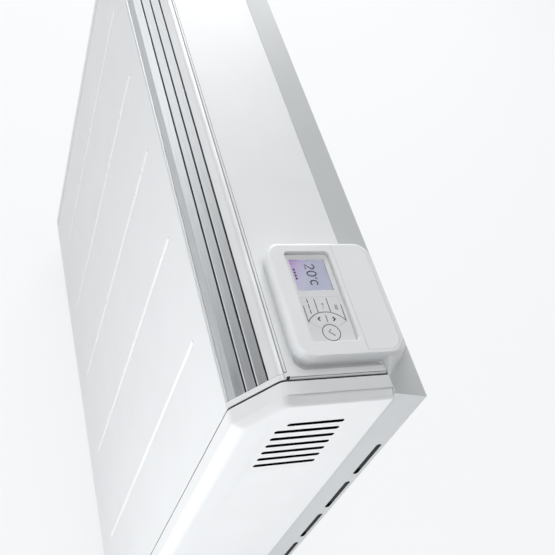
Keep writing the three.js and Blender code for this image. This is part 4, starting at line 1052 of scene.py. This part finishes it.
def even_ring(x, y, radii):
    """Rounded rectangle with evenly parted sides, so that rings match point by point."""
    front_right, rear_right, rear_left, front_left = radii
    centres = [(x[1] - front_right, y[0] + front_right, -90, front_right),
               (x[1] - rear_right, y[1] - rear_right, 0, rear_right),
               (x[0] + rear_left, y[1] - rear_left, 90, rear_left),
               (x[0] + front_left, y[0] + front_left, 180, front_left)]
    shares = [k / SIDE_POINTS for k in range(1, SIDE_POINTS)] + [0.975]
    ring = []
    for i, (cx, cy, start, radius) in enumerate(centres):
        arc = []
        for k in range(CORNER_POINTS):
            angle = math.radians(start + 90 * k / (CORNER_POINTS - 1))
            arc.append((cx + radius * math.cos(angle), cy + radius * math.sin(angle)))
        ring += arc
        nx, ny, after, next_radius = centres[(i + 1) % 4]
        angle = math.radians(after)
        goal = (nx + next_radius * math.cos(angle), ny + next_radius * math.sin(angle))
        ring += [tuple(a + (b - a) * share for a, b in zip(arc[-1], goal)) for share in shares]
    return ring


def pod_outline(level, share=0.0, inset=0.0):
    """Plan of the pod at a height above the flat top, drawn in by a share of its edge insets."""
    lean = POD_REAR_SPREAD * (POD_HEIGHT - level) / (POD_HEIGHT + REAR_DROP)
    left, right, front, rear = (edge * share + inset for edge in POD_EDGE_INSETS)
    x = (seam_x(POD_LEFT) + left, seam_x(POD_RIGHT) - right)
    y = (FRONT + POD_FRONT + front, FRONT + POD_REAR + lean - rear)
    return even_ring(x, y, [max(radius - (left + right) / 2, 2) for radius in POD_CORNERS])


def pod_base(inset):
    """Lowest ring of the pod, which follows the top and the slope behind it."""
    ring = []
    for i in range(len(pod_outline(0))):
        level = POD_GAP
        for _ in range(12):
            x, y = pod_outline(level, 0, inset)[i]
            level = slope_level(y) + POD_GAP
        ring.append((x, y, TOP + level))
    return ring


def spread_skirt(ring, waist):
    """Draws the rear right corner of the base ring out to the end cap's corner."""
    foot = {}
    last = REAR_RIGHT_START - 2
    for i, y in ((last, SKIRT_START), (last + 1, SKIRT_START + 0.6)):
        waist[i] = (waist[i][0], FRONT + y, waist[i][2])
    last_y = waist[last][1]
    front = Vector(SKIRT_FRONT) + Vector((SEAM, FRONT))
    edge = [Vector(p) + Vector((SEAM, FRONT)) for p in SKIRT_FOOT]
    rear = edge[-1]
    for i in range(CORNER_POINTS, last + 1):
        start_y = waist[CORNER_POINTS - 1][1]
        share = (waist[i][1] - start_y) / (last_y - start_y)
        foot[i] = Vector((waist[i][0], start_y + share * (front.y - 0.2 - start_y)))
    foot[last + 1] = front
    for k in range(CORNER_POINTS):
        reach = k / (CORNER_POINTS - 1) * (len(edge) - 1)
        part = min(int(reach), len(edge) - 2)
        foot[REAR_RIGHT_START + k] = edge[part].lerp(edge[part + 1], reach - part)
    for k in range(4):
        i = REAR_RIGHT_START + CORNER_POINTS + k
        foot[i] = Vector((ring[i][0], ring[i][1] + (rear.y - ring[i][1]) * (3 - k) / 4))
    result = list(ring)
    for i, (x, y) in foot.items():
        result[i] = (x, y, TOP + slope_level(y) + POD_GAP)
    return result


def pod_skin():
    """Outer rings of the pod from its base to its flat top."""
    waist = [(x, y, TOP + SKIRT_TOP) for x, y in pod_outline(SKIRT_TOP)]
    base = spread_skirt(pod_base(0), waist)
    rings = []
    for share in (0, 0.1, 0.25, 0.4, 0.55, 0.7, 0.85, 0.95, 1.0):
        rings.append([tuple(Vector(a).lerp(Vector(b), share)) for a, b in zip(base, waist)])
    steps = 10
    drops = edge_drops()
    for k in range(steps + 1):
        angle = math.pi / 2 * k / steps
        rise = 1 - math.sin(angle)
        outline = pod_outline(POD_HEIGHT - max(drops) * rise, 1 - math.cos(angle))
        rings.append([(x, y, TOP + POD_HEIGHT - drop * rise) for (x, y), drop in zip(outline, drops)])
    return rings


def edge_drops():
    """Drop of the pod's upper edge at each point of a ring, blended round the corners."""
    left, right, front, rear = POD_EDGE_DROPS
    drops = []
    for corner in range(4):
        for k in range(CORNER_POINTS + SIDE_POINTS):
            angle = math.pi / 2 * (corner - 1 + min(k / (CORNER_POINTS - 1), 1))
            across, along = math.cos(angle), math.sin(angle)
            drop_across = right if across > 0 else left
            drop_along = rear if along > 0 else front
            drops.append(across**2 * drop_across + along**2 * drop_along)
    return drops


def plate_ring(outset, level):
    """Ring round the key plate; a positive outset spreads by its own share on each side."""
    left, right, front, rear = RIM_SPREAD if outset > 0.3 else (1, 1, 1, 1)
    x = (plate_low.x - outset * left, plate_high.x + outset * right)
    y = (plate_low.y - outset * front, plate_high.y + outset * rear)
    return [(u, v, level) for u, v in even_ring(x, y, [PLATE_CORNER + max(outset * 0.5, -2)] * 4)]


def cover_outline(inset):
    low, high = box("label_cover")
    x = (low.x + inset, high.x - inset)
    y = (low.y + inset, high.y - inset)
    corners = [(x[0], y[0]), (x[1], y[0]), (x[1], y[1]), (x[0], y[1])]
    return rounded(corners, [1, 1, COVER_CORNER, COVER_CORNER], 8)


def groove_tool():
    """Band that cuts the groove round the pod's right-hand end, tapered at both of its ends."""
    run = [Vector(p) for p in pod_outline(0)[:CORNER_POINTS]]
    run += [Vector((seam_x(POD_RIGHT), FRONT + step)) for step in (*GROOVE_STEPS, GROOVE_REAR)]
    lengths = [0.0]
    for a, b in zip(run, run[1:]):
        lengths.append(lengths[-1] + (b - a).length)
    rings = []
    for i, point in enumerate(run):
        before = run[max(i - 1, 0)]
        after = run[min(i + 1, len(run) - 1)]
        ahead = (after - before).normalized()
        out = Vector((ahead.y, -ahead.x))
        start_share = min(1.0, lengths[i] / GROOVE_FADES[0])
        end_share = min(1.0, (lengths[-1] - lengths[i]) / GROOVE_FADES[1])
        fullness = math.sin(math.pi / 2 * start_share) * math.sqrt(max(0.0, 1 - (1 - end_share) ** 2))
        depth = GROOVE_DEPTH * max(fullness, 0.02)
        height = GROOVE_HEIGHT / 2 * max(0.3, fullness)
        section = rounded([(-depth, -height), (3, -height), (3, height), (-depth, height)],
                          [min(1.2, depth * 0.7), 0, 0, min(0.4, depth * 0.5)], 4)
        rings.append([(*(point + out * u), TOP + GROOVE_HEIGHT / 2 + v) for u, v in section])
    return tool(*loft(rings))


def pod_rim():
    """Rings that round the rim down to the key plate."""
    depth = TOP + POD_HEIGHT - plate_high.z
    curve = bezier((RIM_ROUNDING, 0), (1.2, 0), (0.35, 1.0), (RIM_FIT, depth + RIM_FIT), 10)
    return [plate_ring(across, TOP + POD_HEIGHT - down) for across, down in curve]


def pod_hollow():
    """Rings of the ledge below the key plate and of the hollow under it."""
    ledge = plate_low.z - FIT / 2
    below = ledge - LEDGE_HEIGHT
    return [
        plate_ring(RIM_FIT, ledge),
        plate_ring(-LEDGE_WIDTH, ledge),
        plate_ring(-LEDGE_WIDTH, below),
        [(x, y, below) for x, y in pod_outline(below - TOP, 0, POD_HOLLOW)],
        pod_base(POD_HOLLOW),
    ]


def pod():
    skin = pod_skin()
    shell = new_piece("pod_shell", *loft(skin + pod_rim() + pod_hollow(), closed=True), "white_moulding",
                      replaces=["pod_housing"], sharp=40)
    cover = new_piece("pod_cover", *loft(skin), "white_moulding", replaces=["label_cover"])
    low, high = TOP + POD_HEIGHT - COVER_SHEET, TOP + POD_HEIGHT + 2
    combine(shell, [tool(*along_z(cover_outline(-COVER_GAP), low, high)), groove_tool()], "DIFFERENCE")
    keep_flat(shell)
    combine(cover, [tool(*along_z(cover_outline(COVER_GAP), low + 0.1, high))], "INTERSECT")
    keep_flat(cover)
    pod_shade_sheet()


def pod_shade_sheet():
    """Grey sheet between the pod's right-hand end and the top, seen in the groove: painted shade."""
    right, left = seam_x(SHADE_SHEET_RIGHT), seam_x(SHADE_SHEET_RIGHT + SHADE_SHEET_CORNER + 3)
    front, rear = FRONT + POD_FRONT + SHADE_SHEET_MARGINS[0], FRONT + GROOVE_REAR - SHADE_SHEET_MARGINS[1]
    points = [(left, front), (right, front), (right, rear), (left, rear)]
    outline = rounded(points, [0.3, SHADE_SHEET_CORNER, 0.5, 0.3], 14)
    low = TOP + POD_GAP
    new_piece("pod_painted_shade", *along_z(outline, low, low + SHADE_SHEET_THICKNESS), "white_moulding",
              material="pod_shade_grey")


# ---- keys, display and print ----

def arc(radius, start, end, steps):
    points = []
    for i in range(steps + 1):
        angle = start + (end - start) * i / steps
        points.append((ENTER[0] + radius * math.cos(angle), ENTER[1] + radius * math.sin(angle)))
    return points


def option_outline(number, gap):
    low = (number - OPTION_COUNT / 2) * OPTION_DEPTH + gap
    high = low + OPTION_DEPTH - 2 * gap
    radius = ARC_RADIUS + gap
    edge = arc(radius, math.pi - math.asin(low / radius), math.pi - math.asin(high / radius), 12)
    left = box("key_option_1")[0].x - KEY_GAP / 2 + gap
    return [(left, ENTER[1] + low), *edge, (left, ENTER[1] + high)]


def arrow_outline(rear, gap):
    sign = 1 if rear else -1
    outer, inner = ARC_RADIUS - gap, ARROW_INNER_RADIUS + gap
    wide = math.asin((OPTION_COUNT / 2 * OPTION_DEPTH - gap) / ARC_RADIUS)
    return (arc(outer, math.pi - sign * gap / outer, math.pi - sign * wide, 14)
            + arc(inner, math.pi - sign * wide, math.pi - sign * gap / inner, 10))


def circle(radius):
    return arc(radius, 0, 2 * math.pi * (CIRCLE_STEPS - 1) / CIRCLE_STEPS, CIRCLE_STEPS - 1)


def key_cap(name, outline, node):
    new_piece(name, *along_z(outline, box(node)[0].z, PLATE_TOP), "key_grey", body=node, replaces=[node],
              sharp=25)


def keypad():
    thickness = (plate_low.z, plate_high.z)
    outline = rectangle((plate_low.x, plate_high.x), (plate_low.y, plate_high.y), PLATE_CORNER, 8)
    face = new_piece("key_panel", *along_z(outline, *thickness), "key_grey", replaces=["key_plate"], sharp=25)
    half = KEY_GAP / 2
    cut = (thickness[0] - 1, thickness[1] + 1)
    window_low, window_high = box("display_window")
    window = rectangle((window_low.x - half, window_high.x + half),
                       (window_low.y - half, window_high.y + half), 0.4, 3)
    openings = [circle(ENTER_RADIUS + half), window]
    openings += [option_outline(i, -half) for i in range(OPTION_COUNT)]
    openings += [arrow_outline(rear, -half) for rear in (False, True)]
    combine(face, [tool(*along_z(shape, *cut), "key_grey") for shape in openings], "DIFFERENCE")
    key_cap("enter_cap", circle(ENTER_RADIUS - half), "key_enter")
    key_cap("down_cap", arrow_outline(False, half), "key_down")
    key_cap("up_cap", arrow_outline(True, half), "key_up")
    for i in range(OPTION_COUNT):
        key_cap(f"option_cap_{i + 1}", option_outline(i, half), f"key_option_{i + 1}")
    pane = rectangle((window_low.x, window_high.x), (window_low.y, window_high.y), 0.4, 3)
    new_piece("display_pane", *along_z(pane, *thickness), "clear_window", replaces=["display_window"])


def from_corner(path):
    """Plan points that are given from the right-hand seam and the front face."""
    return [(SEAM + x, FRONT + y) for x, y in path]


def stroke(name, path, body, width=INK_WIDTH, level=PLATE_TOP, slot="key_grey", material="ink", closed=False):
    """Thin printed line along a path of plan points."""
    points = [Vector(p) for p in path]
    count = len(points)
    left, right = [], []
    for i, point in enumerate(points):
        before = points[i - 1] if closed or i else point
        after = points[(i + 1) % count] if closed or i < count - 1 else point
        ahead = (after - before).normalized()
        side = Vector((-ahead.y, ahead.x)) * width / 2
        left.append(point + side)
        right.append(point - side)
    verts = []
    for l, r in zip(left, right):
        verts += [(*l, level), (*r, level), (*r, level + INK_HEIGHT), (*l, level + INK_HEIGHT)]
    faces = []
    for i in range(count if closed else count - 1):
        a, b = 4 * i, 4 * ((i + 1) % count)
        for k in range(4):
            n = (k + 1) % 4
            faces.append((a + k, a + n, b + n, b + k))
    if not closed:
        last = 4 * (count - 1)
        faces += [(3, 2, 1, 0), (last, last + 1, last + 2, last + 3)]
    new_piece(name, verts, faces, slot, body=body, material=material, sharp=50)


def key_print():
    """Printed lines along the keys' edges; each key carries its own side of a line."""
    half = KEY_GAP / 2 + INK_WIDTH / 2
    reach = OPTION_COUNT / 2 * OPTION_DEPTH
    wide = math.asin(reach / ARC_RADIUS)
    stroke("ink_enter", circle(ENTER_RADIUS - half), "key_enter", closed=True)
    stroke("ink_enter_ring", circle(ENTER_RADIUS + half), BODY, closed=True)
    line_starts = [SEAM + x for x in OPTION_LINES]
    for i in range(OPTION_COUNT):
        low = (i - OPTION_COUNT / 2) * OPTION_DEPTH + half
        high = low + OPTION_DEPTH - 2 * half
        radius = ARC_RADIUS + half
        edge = arc(radius, math.pi - math.asin(low / radius), math.pi - math.asin(high / radius), 12)
        path = [(line_starts[i], ENTER[1] + low), *edge, (line_starts[i + 1], ENTER[1] + high)]
        stroke(f"ink_option_{i + 1}", path, f"key_option_{i + 1}")
    for sign, name in ((-1, "down"), (1, "up")):
        outer = ARC_RADIUS - half
        path = arc(outer, math.pi - sign * half / outer, math.pi - sign * wide * ARROW_INK_SHARE, 14)
        stroke(f"ink_{name}", path, f"key_{name}")
        y = ENTER[1] + sign * half
        stroke(f"ink_{name}_line", [(SEAM + x, y) for x in ARROW_LINE], f"key_{name}")
    for i, place, start in ((0, -reach - half, line_starts[0]), (2, reach + half, line_starts[3])):
        y = ENTER[1] + place
        stroke(f"ink_side_{i}", [(start, y), (SEAM + SIDE_LINE_END, y)], BODY)
    for name, (body, path) in CHEVRONS.items():
        stroke(f"ink_chevron_{name}", from_corner(path), body, CHEVRON_WIDTH)


def key_symbols():
    """Generic signs on the option and enter keys."""
    for k, dash in enumerate(SIGN_DASHES):
        path = from_corner((x, SIGN_DASHES_PLACE) for x in dash)
        stroke(f"sign_dash_{k}", path, "key_option_1", SIGN_BOLD)
    stroke("sign_return_bar", from_corner(SIGN_RETURN_BAR), "key_option_2", SIGN_WIDTH)
    stroke("sign_return_head", from_corner(SIGN_RETURN_HEAD), "key_option_2", SIGN_WIDTH)
    for k in range(3):
        path = from_corner((x, SIGN_LIST_PLACE + SIGN_LIST_PITCH * k) for x in SIGN_LIST)
        stroke(f"sign_list_{k}", path, "key_option_3", SIGN_LIST_WIDTH)
    stroke("sign_tick", from_corner(SIGN_TICK), "key_enter", SIGN_BOLD)


def ellipse(centre, radii, start, end, steps):
    points = []
    for i in range(steps + 1):
        angle = math.radians(start + (end - start) * i / steps)
        points.append((centre[0] + radii[0] * math.cos(angle), centre[1] + radii[1] * math.sin(angle)))
    return points


def display_digits():
    """A plain temperature reading above a row of charge bars."""
    level = box("display_module")[1].z + 0.01

    def put(name, path, closed=False, width=DIGIT_WIDTH):
        stroke(name, from_corner(path), BODY, width, level, "display_face", "display_ink", closed)

    put("digit_tens", [*ellipse((-116.2, 96.8), (2.8, 2.7), 165, -25, 12), *DIGIT_TWO_FOOT])
    put("digit_units", ellipse((-107.6, 94.5), (2.9, 4.7), 0, 352, 40), closed=True)
    put("degree", ellipse((-102.1, 97.9), (0.95, 0.95), 0, 340, 16), closed=True, width=0.6)
    put("unit", ellipse((-96.4, 94.0), (3.1, 3.6), 45, 315, 22))
    for k in range(CHARGE_BAR_COUNT):
        x, y = CHARGE_BARS[0] + CHARGE_BAR_PITCH * k, CHARGE_BARS[1]
        put(f"charge_bar_{k}", [(x, y), (x + CHARGE_BAR_LENGTH, y)], width=CHARGE_BAR_WIDTH)


# ---- CAD nodes that stay ----


def dress(node, slot):
    """Gives a CAD node its material and small rounded edges."""
    piece = frame["nodes"][node]
    piece.data.materials.clear()
    piece.data.materials.append(materials[slot])
    weld = piece.modifiers.new("one_skin", "WELD")
    weld.merge_threshold = 0.001 * MM
    flat = piece.modifiers.new("whole_faces", "DECIMATE")
    flat.decimate_type = "DISSOLVE"
    flat.angle_limit = math.radians(0.5)
    soften(piece, NODE_ROUNDING, 35, 2)


def dress_nodes():
    replaced = {node for piece in bpy.data.objects for node in piece.get("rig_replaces", [])}
    for row in frame["record"]["subparts"]:
        node = row["node"]
        if node not in replaced:
            dress(node, row["material_slot"])


# ---- stage ----


def make_stage():
    """Pale floor, and a pale round backdrop that only the camera sees."""
    material = new_material("floor", (0.12, 0.12, 0.12), 1.0, Specular_IOR_Level=0.0)
    shader = material.node_tree.nodes["Principled BSDF"]
    shader.inputs["Emission Color"].default_value = (0.97, 0.98, 1.0, 1)
    shader.inputs["Emission Strength"].default_value = PAPER_GLOW
    corners = ((-1, -1), (1, -1), (1, 1), (-1, 1))
    floor = stage_piece("floor", [(x * STAGE_SIZE, y * STAGE_SIZE, 0) for x, y in corners], [(0, 1, 2, 3)])
    floor.location.z = -0.0005
    points = []
    faces = []
    for i in range(STAGE_STEPS):
        angle = 2 * math.pi * i / STAGE_STEPS
        for level in (-10, STAGE_SIZE):
            points.append((STAGE_RADIUS * math.cos(angle), STAGE_RADIUS * math.sin(angle), level))
        after = (i + 1) % STAGE_STEPS
        faces.append((2 * i, 2 * i + 1, 2 * after + 1, 2 * after))
    wall = stage_piece("backdrop", points, faces)
    wall.visible_diffuse = False
    wall.visible_glossy = False
    wall.visible_transmission = False
    wall.visible_shadow = False


def stage_piece(name, points, faces):
    piece = add_mesh(name, points, faces, "floor")
    return piece


make_camera()
make_studio()
make_materials()
front_panel()
grille()
top_panel()
for cap_side, cap_name in SIDES:
    end_cap(cap_side, cap_name)
slot_shades()
pod()
keypad()
key_print()
key_symbols()
display_digits()
dress_nodes()
make_stage()
